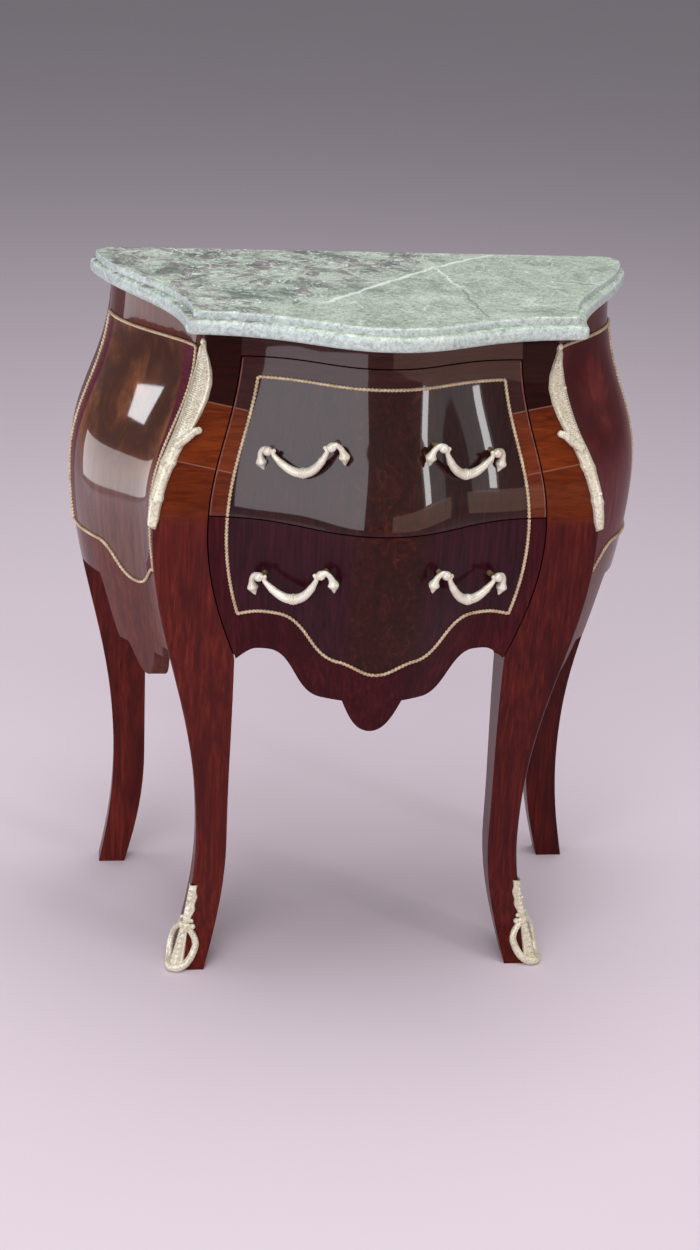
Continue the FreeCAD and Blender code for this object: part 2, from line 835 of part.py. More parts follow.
def bail():
    """A crescent bail with a collar at its middle and a pin at each end."""
    drop = size("bail_drop")
    end_half = size("pull_spacing") / 2 - size("pull_head_radius")
    end_half -= size("running_gap") + size("bail_end_radius")
    thin = size("bail_end_radius")
    steps = 16
    path, radii = [], []
    for step in range(steps + 1):
        share = 2 * step / steps - 1
        path.append(Vector(end_half * share, 0, -drop * (1 - abs(share) ** BAIL_POWER)))
        swelling = math.cos(share * math.pi / 2)
        radii.append(thin + (size("bail_middle_radius") - thin) * swelling)
    body = tapered_tube(path, radii)
    for side in (-1, 1):
        knuckle = Part.makeSphere(size("bail_end_radius"), Vector(side * end_half, 0, 0))
        reach = size("bail_end_radius") + size("running_gap") + size("pull_pin_length") / 2
        pin = Part.makeCylinder(size("pull_pin_radius"), reach + size("pull_head_radius") / 2,
                                Vector(side * end_half, 0, 0), Vector(side, 0, 0))
        body = body.fuse(knuckle).fuse(pin)
    for side in (-1, 1):
        at = side * size("bail_collar_thickness")
        ring = Part.makeCylinder(size("bail_collar_radius"), size("bail_collar_thickness"),
                                 Vector(at - size("bail_collar_thickness") / 2, 0, -drop), Vector(1, 0, 0))
        body = body.fuse(ring)
    return body.removeSplitter()


def nut(side):
    """A hexagon nut on the stem, seated in a flat recess behind the drawer front."""
    x = side * size("pull_spacing") / 2
    start = size("pull_standoff") + size("nut_seat_depth")
    radius = size("nut_radius")
    corners = []
    for number in range(7):
        turn = number * math.pi / 3
        corners.append(Vector(x + radius * math.cos(turn), start, radius * math.sin(turn)))
    block = Part.Face(Part.makePolygon(corners)).extrude(Vector(0, size("nut_height"), 0))
    bore = size("pull_stem_radius") + size("pull_pin_clearance")
    return block.cut(cylinder_y(bore, start - overrun, start + overrun, x))


def drilled(front, placement):
    """A drawer front with the holes and nut recesses of one pull and of its mirror image."""
    tools = []
    for side in (-1, 1):
        x = side * size("pull_spacing") / 2
        hole = cylinder_y(size("pull_stem_radius") + size("hole_clearance"), -overrun, 2 * overrun, x)
        seat_start = size("pull_standoff") + size("nut_seat_depth")
        seat = cylinder_y(size("nut_seat_radius"), seat_start, seat_start + overrun, x)
        tools += [hole.transformed(placement.toMatrix()), seat.transformed(placement.toMatrix())]
    tools += [tool.mirror(Vector(), Vector(1, 0, 0)) for tool in tools]
    return front.cut(tools)


def fitted_pull(level, placement, front):
    """The posts, nuts and bail of one drawer's two pulls, the posts' feet fitted to its front."""
    posts = []
    nuts = []
    for side in (-1, 1):
        post = pull_post(side).transformed(placement.toMatrix())
        posts.append(post.cut(front))
        nuts.append(nut(side).transformed(placement.toMatrix()))
    label = f"{level}_left_pull_posts"
    left_posts = keep(shaped(label, Part.makeCompound(posts)), label)
    mirrored(left_posts, f"{level}_right_pull_posts")
    nuts += [piece.mirror(Vector(), Vector(1, 0, 0)) for piece in nuts]
    label = f"{level}_pull_nuts"
    keep(shaped(label, Part.makeCompound(nuts)), label)
    left_bail = keep(shaped(f"{level}_left_bail", bail(), placement), f"{level}_left_bail")
    mirrored(left_bail, f"{level}_right_bail")
    axis = placement.Rotation.multVec(Vector(1, 0, 0))
    print(f"{level} left bail turns about {tuple(axis)} through {tuple(placement.Base)}")


# Brass borders

def border_loop(inset, drop):
    """The border's path on the drawer fronts, drawn in from the opening's edge and from its own ends."""
    top = size("overall_height") - size("border_top_drop") - drop
    low = size("border_corner_height") + drop
    left, right = drawer_edges(top, low, inset)
    tip = size("border_tip_height") + drop
    step_half, step = size("border_step_half"), size("border_step_height") + drop
    point = [[(step_half, step), (step_half * FLANK_SHARE, step - (step - tip) * CROWN_SHARE),
              (step_half * CROWN_SHARE, tip), (0, tip)]]
    arch = size("border_arch_height") + drop
    edge = scallop(in_front, -end_of(left).x, low, size("border_arch_half"), arch, step_half, step, point)
    return left + edge + flipped(edge) + right + [line(end_of(right), start_of(left))]


def drawer_border(label, strip, high, low):
    """The stretch of the border that lies on one drawer's front."""
    reach = 2 * size("marble_front_depth")
    slice_box = Part.makeBox(reach, reach, high - low, Vector(-reach / 2, -reach / 2, low))
    return keep(shaped(label, strip.common(slice_box)), label)


def drawer_borders():
    band = prism_along_y(border_loop(size("border_inset"), 0))
    width = size("border_width")
    band = band.cut(prism_along_y(border_loop(size("border_inset") + width, width)))
    bed = front_skin.translated(Vector(0, -size("border_bed"), 0))
    strip = bed.extrude(Vector(0, -size("border_relief"), 0)).common(band)
    split = size("split_height")
    drawer_border("upper_drawer_border", strip, drawer_top, split + gap / 2)
    drawer_border("lower_drawer_border", strip, split - gap / 2, ankle)


dip_y = (stile_y + back_leg_front_y) / 2 - size("side_border_dip_forward")


def forward_of_dip(offset, height):
    """A point of the side elevation, measured forward from the middle of the border's dip."""
    return Vector(0, dip_y - offset, height)


def behind_dip(offset, height):
    """A point of the side elevation, measured back from the middle of the border's dip."""
    return Vector(0, dip_y + offset, height)


def side_border_half(end, place, reach, inset):
    """The border's path on a side panel from one top corner down to the middle of its dip."""
    top = size("overall_height") - size("side_border_top_drop") - inset
    corner = size(f"side_border_{end}_corner_height") + inset
    dip = size("side_border_dip_height") + inset
    edge = reach - size(f"side_border_{end}_inset") - inset
    level = min(edge, size("side_border_dip_half"))
    path = [line(place(edge, top), place(edge, corner))]
    if level < edge:
        path += [line(place(edge, corner), place(level, corner))]
    swing = level * FLANK_SHARE
    return path + [[place(level, corner), place(swing, corner), place(swing, dip), place(0, dip)]]


def side_border_loop(inset):
    """The border's path on a side panel, level at the back and dipping towards the front."""
    loop = side_border_half("front", forward_of_dip, dip_y - stile_y, inset)
    loop += reverse(side_border_half("back", behind_dip, back_leg_front_y - dip_y, inset))
    return loop + [line(end_of(loop), start_of(loop))]


def side_border():
    band = prism_along_x(side_border_loop(0)).cut(prism_along_x(side_border_loop(size("border_width"))))
    bed = side_skin.translated(Vector(-size("border_bed"), 0, 0))
    strip = bed.extrude(Vector(-size("border_relief"), 0, 0)).common(band)
    return keep(shaped("left_side_border", strip), "left_side_border")


drawer_borders()
mirrored(side_border(), "right_side_border")


# Drawers

inner_skin = front_skin.translated(Vector(0, size("front_thickness"), 0))
front_region = shaped("before_drawer_boxes", inner_skin.extrude(Vector(0, -size("marble_front_depth"), 0)))


def drawer_side(label, bottom, height):
    """A drawer side, grooved for the bottom board, its front end cut to the curved front."""
    inner = "-drawer_half + drawer_side_thickness"
    rear = f"{BACK_PANEL_FRONT} - drawer_back_gap"
    front = f"{BACK} - corner_belly_depth"
    plank = board(f"{label}_plank", ("-drawer_half", inner), (front, rear), (bottom, f"{bottom} + {height}"))
    groove_low = f"{bottom} + drawer_groove_height"
    groove = board(f"{label}_groove", (f"{inner} - drawer_groove_depth", f"{inner} + drawer_groove_depth"),
                   (front, f"{rear} + overrun"), (groove_low, f"{groove_low} + drawer_bottom_thickness"))
    return keep(cut(label, plank, groove, front_region), label)


def drawer(level, front_shape):
    """One drawer box behind its bombé front, with its two pulls."""
    placement = pull_placement(size(f"{level}_pull_half"), size(f"{level}_pull_height"))
    front = drilled(front_shape, placement)
    keep(shaped(f"{level}_drawer_front", front), f"{level}_drawer_front")
    bottom = f"{level}_rail_top_height + running_gap"
    side_height = f"{level}_side_height"
    left_side = drawer_side(f"{level}_drawer_left_side", bottom, side_height)
    mirrored(left_side, f"{level}_drawer_right_side")

    inner = "(drawer_half - drawer_side_thickness)"
    rear = f"{BACK_PANEL_FRONT} - drawer_back_gap"
    floor_low = f"{bottom} + drawer_groove_height"
    floor_top = f"{floor_low} + drawer_bottom_thickness"
    tongue = f"({inner} + drawer_groove_depth)"
    floor = board(f"{level}_drawer_floor", (f"-{tongue}", tongue), (f"{BACK} - marble_front_depth", rear),
                  (floor_low, floor_top))
    keep(cut(f"{level}_drawer_bottom", floor, front_region), f"{level}_drawer_bottom")
    keep(board(f"{level}_drawer_back", (f"-{inner}", inner), (f"{rear} - drawer_side_thickness", rear),
               (floor_top, f"{bottom} + {side_height} - drawer_back_drop")), f"{level}_drawer_back")
    fitted_pull(level, placement, front)


drawer("upper", upper_front())
drawer("lower", lower_front())


# Marble top

def marble_outline(inset):
    """The slab's plan: a serpentine front, pointed front corners and sides that flare to the back."""
    half = size("marble_corner_half") - inset
    corner = Vector(-half, back_y - size("marble_corner_depth") + inset, 0)
    crown_y = back_y - size("marble_front_depth") + inset
    rear = Vector(inset - size("marble_back_half"), back_y + size("marble_back_overhang") - inset, 0)
    reach = Vector(0, size("marble_side_reach"), 0)
    side = [rear, rear - reach + Vector(size("marble_back_inset"), 0, 0), corner + reach, corner]
    front = [corner, Vector(-half * MARBLE_FLANK_SHARE, corner.y, 0),
             Vector(-half * MARBLE_CROWN_SHARE, crown_y, 0), Vector(0, crown_y, 0)]
    left = [side, front]
    return outline_face(left + flipped(left) + [line(Vector(-rear.x, rear.y, 0), rear)])


def corner_posts(block, behind):
    """The upright edges at a slab's front corners or at its rear corners."""
    hair = size("running_gap")
    upright = [edge for edge in block.Edges if edge.BoundBox.XLength + edge.BoundBox.YLength < hair]
    beside = [edge for edge in upright if abs(edge.CenterOfMass.x) > size("marble_tip_round")]
    return [edge for edge in beside if (edge.CenterOfMass.y > 0) == behind]


def slab(face, bottom, top, rear_round):
    """A slab between two heights with its upright corners rounded."""
    block = face.translated(Vector(0, 0, bottom)).extrude(Vector(0, 0, top - bottom))
    block = block.makeFillet(size("marble_tip_round"), corner_posts(block, False))
    return block.makeFillet(rear_round, corner_posts(block, True))


def rim(block, height):
    """The edges that run flat around a slab at a height."""
    hair = size("running_gap")
    flat = [edge for edge in block.Edges if edge.BoundBox.ZLength < hair]
    return [edge for edge in flat if abs(edge.CenterOfMass.z - height) < hair]


def marble_top():
    inset = size("marble_step_inset")
    top, rear = size("overall_height"), size("marble_back_corner_round")
    bead_top = case_top + size("marble_bead_thickness")
    bead = slab(marble_outline(0), case_top, bead_top, rear)
    bead = bead.makeFillet(size("marble_bead_round"), rim(bead, case_top) + rim(bead, bead_top))
    step = slab(marble_outline(inset), case_top + size("marble_bead_round"), top, rear - inset)
    step = step.makeFillet(size("marble_step_round"), rim(step, top))
    return keep(shaped("marble_top", bead.fuse(step).removeSplitter()), "marble_top")


marble_top()


# Cast brass on the front corners, drawn square to the corner's diagonal

diagonal = Vector(-math.sqrt(0.5), -math.sqrt(0.5), 0)
sideways = Vector(math.sqrt(0.5), -math.sqrt(0.5), 0)
arris_x = arris_front + [foot(in_front, size("arris_ankle_half"), size("arris_foot_half"))]
arris_y = arris_side + [foot(in_side, size("corner_ankle_depth"), size("corner_foot_depth"))]


def arris_at(height):
    """The point of the left front arris at a height."""
    return Vector(point_at(arris_x, height).x, point_at(arris_y, height).y, height)


def on_arris(height, offset):
    """A point beside the arris, seen along the corner's diagonal, on a plane well outside the leg."""
    point = arris_at(height) + sideways * offset
    return point + diagonal * (size("marble_front_depth") - point.dot(diagonal))


def smooth_loop(points):
    curve = Part.BSplineCurve()
    curve.interpolate(Points=points, PeriodicFlag=True)
    return Part.Face(Part.Wire(curve.toShape()))


def oval(middle, half_height, half_width):
    """The flat face inside an upright oval that follows the arris."""
    turns = [number * math.pi / 6 for number in range(12)]
    return smooth_loop([on_arris(middle + half_height * math.cos(turn), half_width * math.sin(turn))
                        for turn in turns])


def relief(face, thickness):
    """The layer of brass of an outline that lies on the leg's two outer faces."""
    leg = front_left_leg.Shape
    layer = leg.translated(diagonal * thickness * math.sqrt(2)).cut(leg)
    return layer.common(face.extrude(-diagonal * size("marble_front_depth")))


# The chute's outline down the corner: height share from its top, and both edges as shares of its half width
CHUTE_SHARES = (
    (0.00, -0.10, 0.10), (0.10, -0.60, 0.60), (0.22, -1.00, 1.00), (0.38, -0.90, 0.94),
    (0.47, -0.74, 0.90), (0.56, -0.58, 0.60), (0.78, -0.42, 0.44), (1.00, -0.18, 0.18),
)


def mount_pin(height, thickness):
    """A round-headed pin driven through a mount into the corner."""
    start = arris_at(height) + diagonal * (thickness * math.sqrt(2) - size("arris_round") * CROWN_SHARE)
    shank_part = Part.makeCylinder(size("pin_shank_radius"), size("pin_length"), start, -diagonal)
    head = Part.makeSphere(size("pin_head_radius"), start)
    return head.fuse(shank_part).removeSplitter()


def corner_brass():
    top = size("overall_height") - size("mount_top_drop")
    bottom = top - size("mount_length")
    left, right = [], []
    for fall, out, back in CHUTE_SHARES:
        height = top - fall * (top - bottom)
        left.append(on_arris(height, out * size("mount_half_width")))
        right.append(on_arris(height, back * size("mount_half_width")))
    chute = relief(smooth_loop(left + right[::-1]), size("mount_relief"))

    loop_half, loop_top = size("sabot_loop_half"), size("sabot_loop_height")
    band = size("sabot_band_width")
    ring = oval(loop_top / 2, loop_top / 2, loop_half)
    hole = oval(loop_top / 2, loop_top / 2 - band, loop_half - band)
    spear_half = size("sabot_spear_half")
    tip = size("sabot_height")
    root, waist = loop_top - band, (tip + loop_top) / 2
    spear = smooth_loop([on_arris(root, -spear_half), on_arris(waist, -spear_half), on_arris(tip, 0),
                         on_arris(waist, spear_half), on_arris(root, spear_half)])
    sabot = relief(ring, size("sabot_relief")).cut(hole.extrude(-diagonal * size("marble_front_depth")))
    sabot = sabot.fuse(relief(spear, size("sabot_relief"))).removeSplitter()

    pins = [mount_pin(top - (top - bottom) * CHUTE_SHARES[2][0], size("mount_relief")),
            mount_pin(top - (top - bottom) * CHUTE_SHARES[6][0], size("mount_relief")),
            mount_pin(waist, size("sabot_relief"))]
    for pin in pins:
        chute = chute.cut(pin)
        sabot = sabot.cut(pin)
    for label, shape in (("corner_mount", chute), ("sabot", sabot), ("mount_pins", Part.makeCompound(pins))):
        left_piece = keep(shaped(f"left_{label}", shape), f"left_{label}")
        mirrored(left_piece, f"right_{label}")


corner_brass()

doc.recompute()
for item in doc.Objects:
    if "Invalid" in item.State or "Error" in item.State:
        raise RuntimeError(f"{item.Label} failed: {item.State}")
for piece in nodes:
    if piece.Shape.isNull() or not piece.Shape.isValid() or not piece.Shape.Solids:
        raise RuntimeError(f"{piece.Label} has no valid solid")
    if not all(shell.isClosed() for shell in piece.Shape.Shells):
        raise RuntimeError(f"{piece.Label} isn't closed")

os.makedirs("parts", exist_ok=True)
for piece in nodes:
    piece.Shape.exportStep(f"parts/{piece.Label}.step")
    print(f"{piece.Label}: {len(piece.Shape.Solids)} solids, {piece.Shape.Volume:.0f} mm3")
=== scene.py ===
"""Looks of a small bombé commode chest: polished veneers, marble, roped borders and cast brass."""
import json
from math import copysign, cos, exp, pi, radians, sin, sqrt

import bpy
from mathutils import Matrix, Vector


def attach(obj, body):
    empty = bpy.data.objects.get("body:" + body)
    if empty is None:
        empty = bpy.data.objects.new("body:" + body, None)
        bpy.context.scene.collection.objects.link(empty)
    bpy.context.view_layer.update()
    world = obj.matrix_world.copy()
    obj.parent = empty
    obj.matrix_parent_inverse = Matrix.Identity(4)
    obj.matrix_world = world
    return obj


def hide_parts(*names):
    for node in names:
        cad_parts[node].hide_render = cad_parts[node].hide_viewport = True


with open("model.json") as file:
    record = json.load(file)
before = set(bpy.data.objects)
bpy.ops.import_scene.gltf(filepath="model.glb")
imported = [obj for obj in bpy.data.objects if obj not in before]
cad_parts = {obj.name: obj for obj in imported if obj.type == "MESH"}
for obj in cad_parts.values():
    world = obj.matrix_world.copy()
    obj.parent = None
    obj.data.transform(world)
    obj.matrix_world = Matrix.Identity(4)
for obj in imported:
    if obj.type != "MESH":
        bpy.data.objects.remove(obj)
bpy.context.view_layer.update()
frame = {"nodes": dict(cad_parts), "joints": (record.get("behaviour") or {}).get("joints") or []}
nodes = frame["nodes"]
scene = bpy.context.scene

# The chest's own curves, in metres
CASE_TOP, BELLY, ANKLE = 0.756, 0.540, 0.155
BACK = 0.1745
STILE_Y = -0.0405
BACK_LEG_Y = 0.1295
DIP_Y = 0.005
SPLIT = 0.558
GAP = 0.0015
DRAWER_TOP = 0.722
ARRIS_ROUND = 0.004

# Values at the case's top, the belly and the ankle, then at the flared foot
OPENING_HALF = (0.148, 0.183, 0.096)
FRONT_DEPTH = (0.246, 0.284, 0.255)
FRONT_BOW = (0.044, 0.062, 0.020)
CORNER_HALF = (0.188, 0.241, 0.187)
REAR_HALF = (0.282, 0.329, 0.279)
FOOT_HALF, FOOT_DEPTH = 0.214, 0.284

EASE_FRONT, EASE_REAR = 0.045, 0.085
UPPER_SHARES = (0.0, 0.48, 0.60, 1.0)
LOWER_SHARES = (0.0, 0.35, 0.55, 1.0)
FOOT_SHARES = (0.0, 0.45, 0.77, 1.0)
FLARE_SHARE = 0.62
FLANK_SHARE = 0.50
CROWN_SHARE = 0.40


def bezier(poles, share):
    a, b, c, d = poles
    rest = 1 - share
    return rest ** 3 * a + 3 * rest * rest * share * b + 3 * rest * share * share * c + share ** 3 * d


def share_of(poles, target):
    """The share at which a steadily changing curve reaches the target."""
    low, high = 0.0, 1.0
    rising = poles[3] > poles[0]
    for _ in range(40):
        middle = (low + high) / 2
        if (bezier(poles, middle) < target) == rising:
            low = middle
        else:
            high = middle
    return (low + high) / 2


def swell(height, values, floor=None):
    """A swelling value of the profile at a height: top, belly, ankle and, on a leg, the flared foot."""
    top, middle, slim = values
    if height >= BELLY:
        share = share_of([CASE_TOP - part * (CASE_TOP - BELLY) for part in UPPER_SHARES], height)
        return bezier((top, top, middle, middle), share)
    if height >= ANKLE or floor is None:
        share = share_of([BELLY - part * (BELLY - ANKLE) for part in LOWER_SHARES], height)
        return bezier((middle, middle, slim, slim), share)
    share = share_of([ANKLE * (1 - part) for part in FOOT_SHARES], height)
    return bezier((slim, slim, slim + FLARE_SHARE * (floor - slim), floor), share)


def opening_half(height):
    return swell(height, OPENING_HALF)


def front_y(x, height):
    """The serpentine front's outer face."""
    share = share_of((0.0, CROWN_SHARE, FLANK_SHARE, 1.0), min(abs(x) / opening_half(height), 1.0))
    bow = swell(height, FRONT_BOW) * bezier((1.0, 1.0, 0.0, 0.0), share)
    return BACK - swell(height, FRONT_DEPTH) - bow


def side_x(y, height):
    """The left side's outer face."""
    front = swell(height, CORNER_HALF)
    rear = swell(height, REAR_HALF)
    share = share_of((STILE_Y, STILE_Y + EASE_FRONT, BACK_LEG_Y - EASE_REAR, BACK_LEG_Y), y)
    return -bezier((front, front, rear, rear), share)


def on_corner(height, across, lift):
    """A point on the left front leg: across runs round the arris, positive on the front face."""
    x = -swell(height, CORNER_HALF, FOOT_HALF)
    y = BACK - swell(height, FRONT_DEPTH, FOOT_DEPTH)
    quarter = ARRIS_ROUND * pi / 4
    turn = pi / 4 + max(-quarter, min(quarter, across)) / ARRIS_ROUND
    normal = Vector((-cos(turn), -sin(turn), 0.0))
    point = Vector((x + ARRIS_ROUND, y + ARRIS_ROUND, height)) + normal * (ARRIS_ROUND + lift)
    beyond = max(0.0, abs(across) - quarter)
    return point + (Vector((beyond, 0, 0)) if across > 0 else Vector((0, beyond, 0)))


# Meshes

CURVE_STEPS = 8
BALL_RINGS, BALL_SIDES = 10, 16


def add_object(name, data):
    obj = bpy.data.objects.new(name, data)
    scene.collection.objects.link(obj)
    return obj


def stretch(low, high, count):
    return [low + (high - low) * number / count for number in range(count + 1)]


def turns(count):
    """Angles at even steps, once round."""
    return [2 * pi * number / count for number in range(count)]


def peak(value, middle, half):
    """1 at the middle, falling off smoothly on both sides."""
    return exp(-((value - middle) / half) ** 2)


def tangent_at(path, number):
    return (path[min(number + 1, len(path) - 1)] - path[max(number - 1, 0)]).normalized()


def spaced(points, step):
    """Points at even steps along a line of points."""
    total = [0.0]
    for a, b in zip(points, points[1:]):
        total.append(total[-1] + (b - a).length)
    count = max(2, round(total[-1] / step))
    result = []
    at = 0
    for number in range(count + 1):
        goal = total[-1] * number / count
        while at < len(points) - 2 and total[at + 1] < goal:
            at += 1
        span = total[at + 1] - total[at]
        share = (goal - total[at]) / span if span else 0.0
        result.append(points[at].lerp(points[at + 1], share))
    return result


def curve_point(points, number, t):
    """A point on the smooth line through the points, a share t of the way from one to the next."""
    a = points[max(number - 1, 0)]
    b, c = points[number], points[number + 1]
    d = points[min(number + 2, len(points) - 1)]
    return 0.5 * (2 * b + (c - a) * t + (2 * a - 5 * b + 4 * c - d) * t * t
                  + (3 * b - a - 3 * c + d) * t ** 3)


def rounded(points):
    """A smooth line through the points."""
    result = []
    for number in range(len(points) - 1):
        result += [curve_point(points, number, step / CURVE_STEPS) for step in range(CURVE_STEPS)]
    return result + [points[-1]]


class Form:
    """Vertices and faces gathered from several grids and then made into one piece."""

    def __init__(self):
        self.points = []
        self.faces = []

    def grid(self, rows, around=False, caps=False):
        start = len(self.points)
        width = len(rows[0])
        for row in rows:
            self.points += row
        for number in range(len(rows) - 1):
            near = start + number * width
            far = near + width
            for column in range(width if around else width - 1):
                beside = (column + 1) % width
                self.faces.append((near + column, near + beside, far + beside, far + column))
        if caps:
            last = start + (len(rows) - 1) * width
            self.faces.append(tuple(range(start + width - 1, start - 1, -1)))
            self.faces.append(tuple(range(last, last + width)))
        return self

    def tube(self, path, radius_at, sides=12, lobes=None, caps=True):
        """A tube along a path. lobes(turn) scales its radius round each ring."""
        rings = []
        side = tangent_at(path, 0).orthogonal().normalized()
        for number, point in enumerate(path):
            tangent = tangent_at(path, number)
            side = (side - tangent * side.dot(tangent)).normalized()
            other = tangent.cross(side)
            wide = radius_at(number / (len(path) - 1))
            ring = []
            for turn in turns(sides):
                radius = wide * (lobes(turn) if lobes else 1.0)
                ring.append(point + (side * cos(turn) + other * sin(turn)) * radius)
            rings.append(ring)
        self.grid(rings, around=True, caps=caps)

    def ball(self, middle, radius, squash=(1.0, 1.0, 1.0)):
        rows = []
        x, y, z = [radius * share for share in squash]
        for ring in range(BALL_RINGS, -1, -1):
            tilt = pi * (ring + 0.001) / (BALL_RINGS + 0.002)
            wide, up = sin(tilt), z * cos(tilt)
            rows.append([middle + Vector((x * wide * cos(turn), y * wide * sin(turn), up))
                         for turn in turns(BALL_SIDES)])
        self.grid(rows, around=True)

    def moved(self, matrix):
        self.points = [matrix @ point for point in self.points]
        return self

    def sided(self, label):
        """Itself for the left, or its mirror image for the right."""
        if label == "left":
            return self
        twin = Form()
        twin.points = [Vector((-point.x, point.y, point.z)) for point in self.points]
        twin.faces = [face[::-1] for face in self.faces]
        return twin

    def piece(self, name, body, material, slot, *replaced):
        mesh = bpy.data.meshes.new(name)
        mesh.from_pydata(self.points, [], self.faces)
        mesh.update()
        mesh.polygons.foreach_set("use_smooth", [True] * len(mesh.polygons))
        obj = add_object(name, mesh)
        mesh.materials.append(material)
        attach(obj, body)
        if replaced:
            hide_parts(*replaced)


# Materials

def srgb(red, green, blue):
    """A colour as it is seen, in 0 to 255, as the shader takes it."""
    values = []
    for level in (red, green, blue):
        level /= 255
        values.append(level / 12.92 if level <= 0.04045 else ((level + 0.055) / 1.055) ** 2.4)
    return (*values, 1.0)


class Paint:
    """A material under construction: its nodes, their links and one Principled shader."""

    def __init__(self, name):
        self.material = bpy.data.materials.new(name)
        self.material.use_nodes = True
        self.tree = self.material.node_tree
        self.shader = self.tree.nodes["Principled BSDF"]
        self.place = self.add("ShaderNodeTexCoord").outputs["Object"]
        self.axes = self.add("ShaderNodeSeparateXYZ", Vector=self.place).outputs

    def add(self, kind, settings=None, values=(), **inputs):
        """A node with values in its first sockets in turn, and inputs in the sockets they name."""
        node = self.tree.nodes.new(kind)
        for key, value in (settings or {}).items():
            setattr(node, key, value)
        for socket, value in zip(node.inputs, values):
            self.put(socket, value)
        self.fill(node, inputs)
        return node

    def fill(self, node, inputs):
        for key, value in inputs.items():
            self.put(node.inputs[key.replace("_", " ")], value)

    def put(self, socket, value):
        if isinstance(value, bpy.types.NodeSocket):
            self.tree.links.new(value, socket)
        else:
            socket.default_value = value

    def math(self, kind, *values):
        return self.add("ShaderNodeMath", {"operation": kind}, values).outputs[0]

    def times(self, first, second):
        return self.math("MULTIPLY", first, second)

    def less(self, first, second):
        return self.math("SUBTRACT", first, second)

    def vector(self, kind, *values):
        node = self.add("ShaderNodeVectorMath", {"operation": kind}, values)
        return node.outputs["Value" if kind in ("DOT_PRODUCT", "LENGTH") else "Vector"]

    def facing(self, axis):
        """How far the surface faces along an axis."""
        normal = self.add("ShaderNodeNewGeometry").outputs["Normal"]
        return self.add("ShaderNodeSeparateXYZ", Vector=normal).outputs[axis]

    def step(self, value, low, high):
        """0 below low, 1 above high, smooth between."""
        settings = {"interpolation_type": "SMOOTHSTEP"}
        return self.add("ShaderNodeMapRange", settings, Value=value, From_Min=low, From_Max=high).outputs[0]

    def near(self, value, middle, half):
        """1 on a thin line where the value is at its middle, falling to 0 at half away."""
        away = self.math("ABSOLUTE", self.less(value, middle))
        return self.less(1.0, self.step(away, 0.0, half))

    def mix(self, factor, first, second):
        node = self.add("ShaderNodeMix", {"data_type": "RGBA", "clamp_factor": True})
        self.put(node.inputs[0], factor)
        self.put(node.inputs[6], first)
        self.put(node.inputs[7], second)
        return node.outputs[2]

    def tint(self, colour, shade, mask, strength=1.0):
        """The colour with a shade over it, as strong as the mask."""
        return self.mix(self.times(mask, strength), colour, srgb(*shade))

    def stretched(self, x, y, z):
        """The place with each axis scaled, which draws a texture out along the smaller ones."""
        return self.add("ShaderNodeMapping", Vector=self.place, Scale=(x, y, z)).outputs[0]

    def noise(self, place, scale, detail, roughness=0.5, distortion=0.0, output="Fac"):
        node = self.add("ShaderNodeTexNoise", Vector=place, Scale=scale, Detail=detail, Roughness=roughness,
                        Distortion=distortion)
        return node.outputs[output]

    def ramp(self, value, *stops):
        node = self.add("ShaderNodeValToRGB", Fac=value)
        elements = node.color_ramp.elements
        for _ in stops[2:]:
            elements.new(0.5)
        for element, (position, shade) in zip(elements, stops):
            element.position = position
            element.color = srgb(*shade)
        return node.outputs["Color"]

    def bump(self, height, strength, distance):
        node = self.add("ShaderNodeBump", Height=height, Strength=strength, Distance=distance)
        self.tree.links.new(node.outputs[0], self.shader.inputs["Normal"])

    def finish(self, colour, **settings):
        self.fill(self.shader, {"Base_Color": colour, **settings})
        return self.material


def grain(paint, x, y, z):
    """Long fibres, broad figure and fine pores of wood drawn out along the smallest scale."""
    fibre = paint.noise(paint.stretched(x, y, z), 1.0, 6.0, 0.62, 0.4)
    figure = paint.noise(paint.stretched(x * 0.16, y * 0.16, z * 0.3), 1.0, 3.0, 0.5, 1.2)
    pores = paint.noise(paint.stretched(x * 4, y * 4, z * 1.6), 1.0, 2.0)
    return fibre, figure, pores


def lacquer(paint, colour, pores, gloss):
    """A polished finish. The fields are French polished to full gloss and the frame is softer."""
    paint.bump(pores, 0.05, 0.0004)
    return paint.finish(colour, Roughness=0.30, Specular_IOR_Level=0.05, Coat_Weight=gloss,
                        Coat_Roughness=0.045, Coat_IOR=1.5)


# Shades of wood from dark to pale, with a clouded one last where there are four
REDS = ((48, 11, 12), (78, 22, 20), (106, 36, 25), (56, 14, 17))
# The reds lightened as painted light for the left legs, on which more light falls from the left
LIT_REDS = ((58, 15, 14), (93, 30, 25), (124, 48, 32), (68, 20, 20))
PLUMS = ((38, 9, 13), (64, 17, 23), (88, 30, 32), (50, 12, 19))
BROWNS = ((62, 20, 16), (94, 38, 27), (120, 58, 39), (74, 26, 23))
# Painted shadow under the marble's overhang, for the top of the stiles and of the front rail
STILE_SHADOW_SHADES = ((30, 10, 9), (48, 17, 14), (66, 25, 18))
RAIL_SHADOW_SHADES = ((46, 20, 20), (68, 32, 30), (90, 45, 39))
# The crossbanding's orange, brightened by painted light
ORANGES = ((78, 28, 10), (116, 48, 18), (140, 64, 26))
UMBERS = ((72, 25, 10), (106, 43, 17), (126, 55, 24))
FIELD_REDS = ((32, 10, 9), (54, 19, 14), (92, 40, 21))
UPPER_DARKS = ((28, 9, 9), (50, 18, 16), (70, 28, 23))
LOWER_DARKS = ((30, 8, 15), (56, 16, 27), (78, 25, 36))
BAND_PLUMS = ((70, 24, 36), (98, 38, 52), (118, 54, 66), (80, 30, 44))
# Pale shades of the painted highlight along the upper drawer's edges
EDGE_HIGHLIGHT_PALES = ((104, 60, 54), (138, 88, 80), (160, 112, 100))
INNER_TANS = ((128, 92, 58), (158, 120, 80), (182, 146, 104), (140, 98, 62))
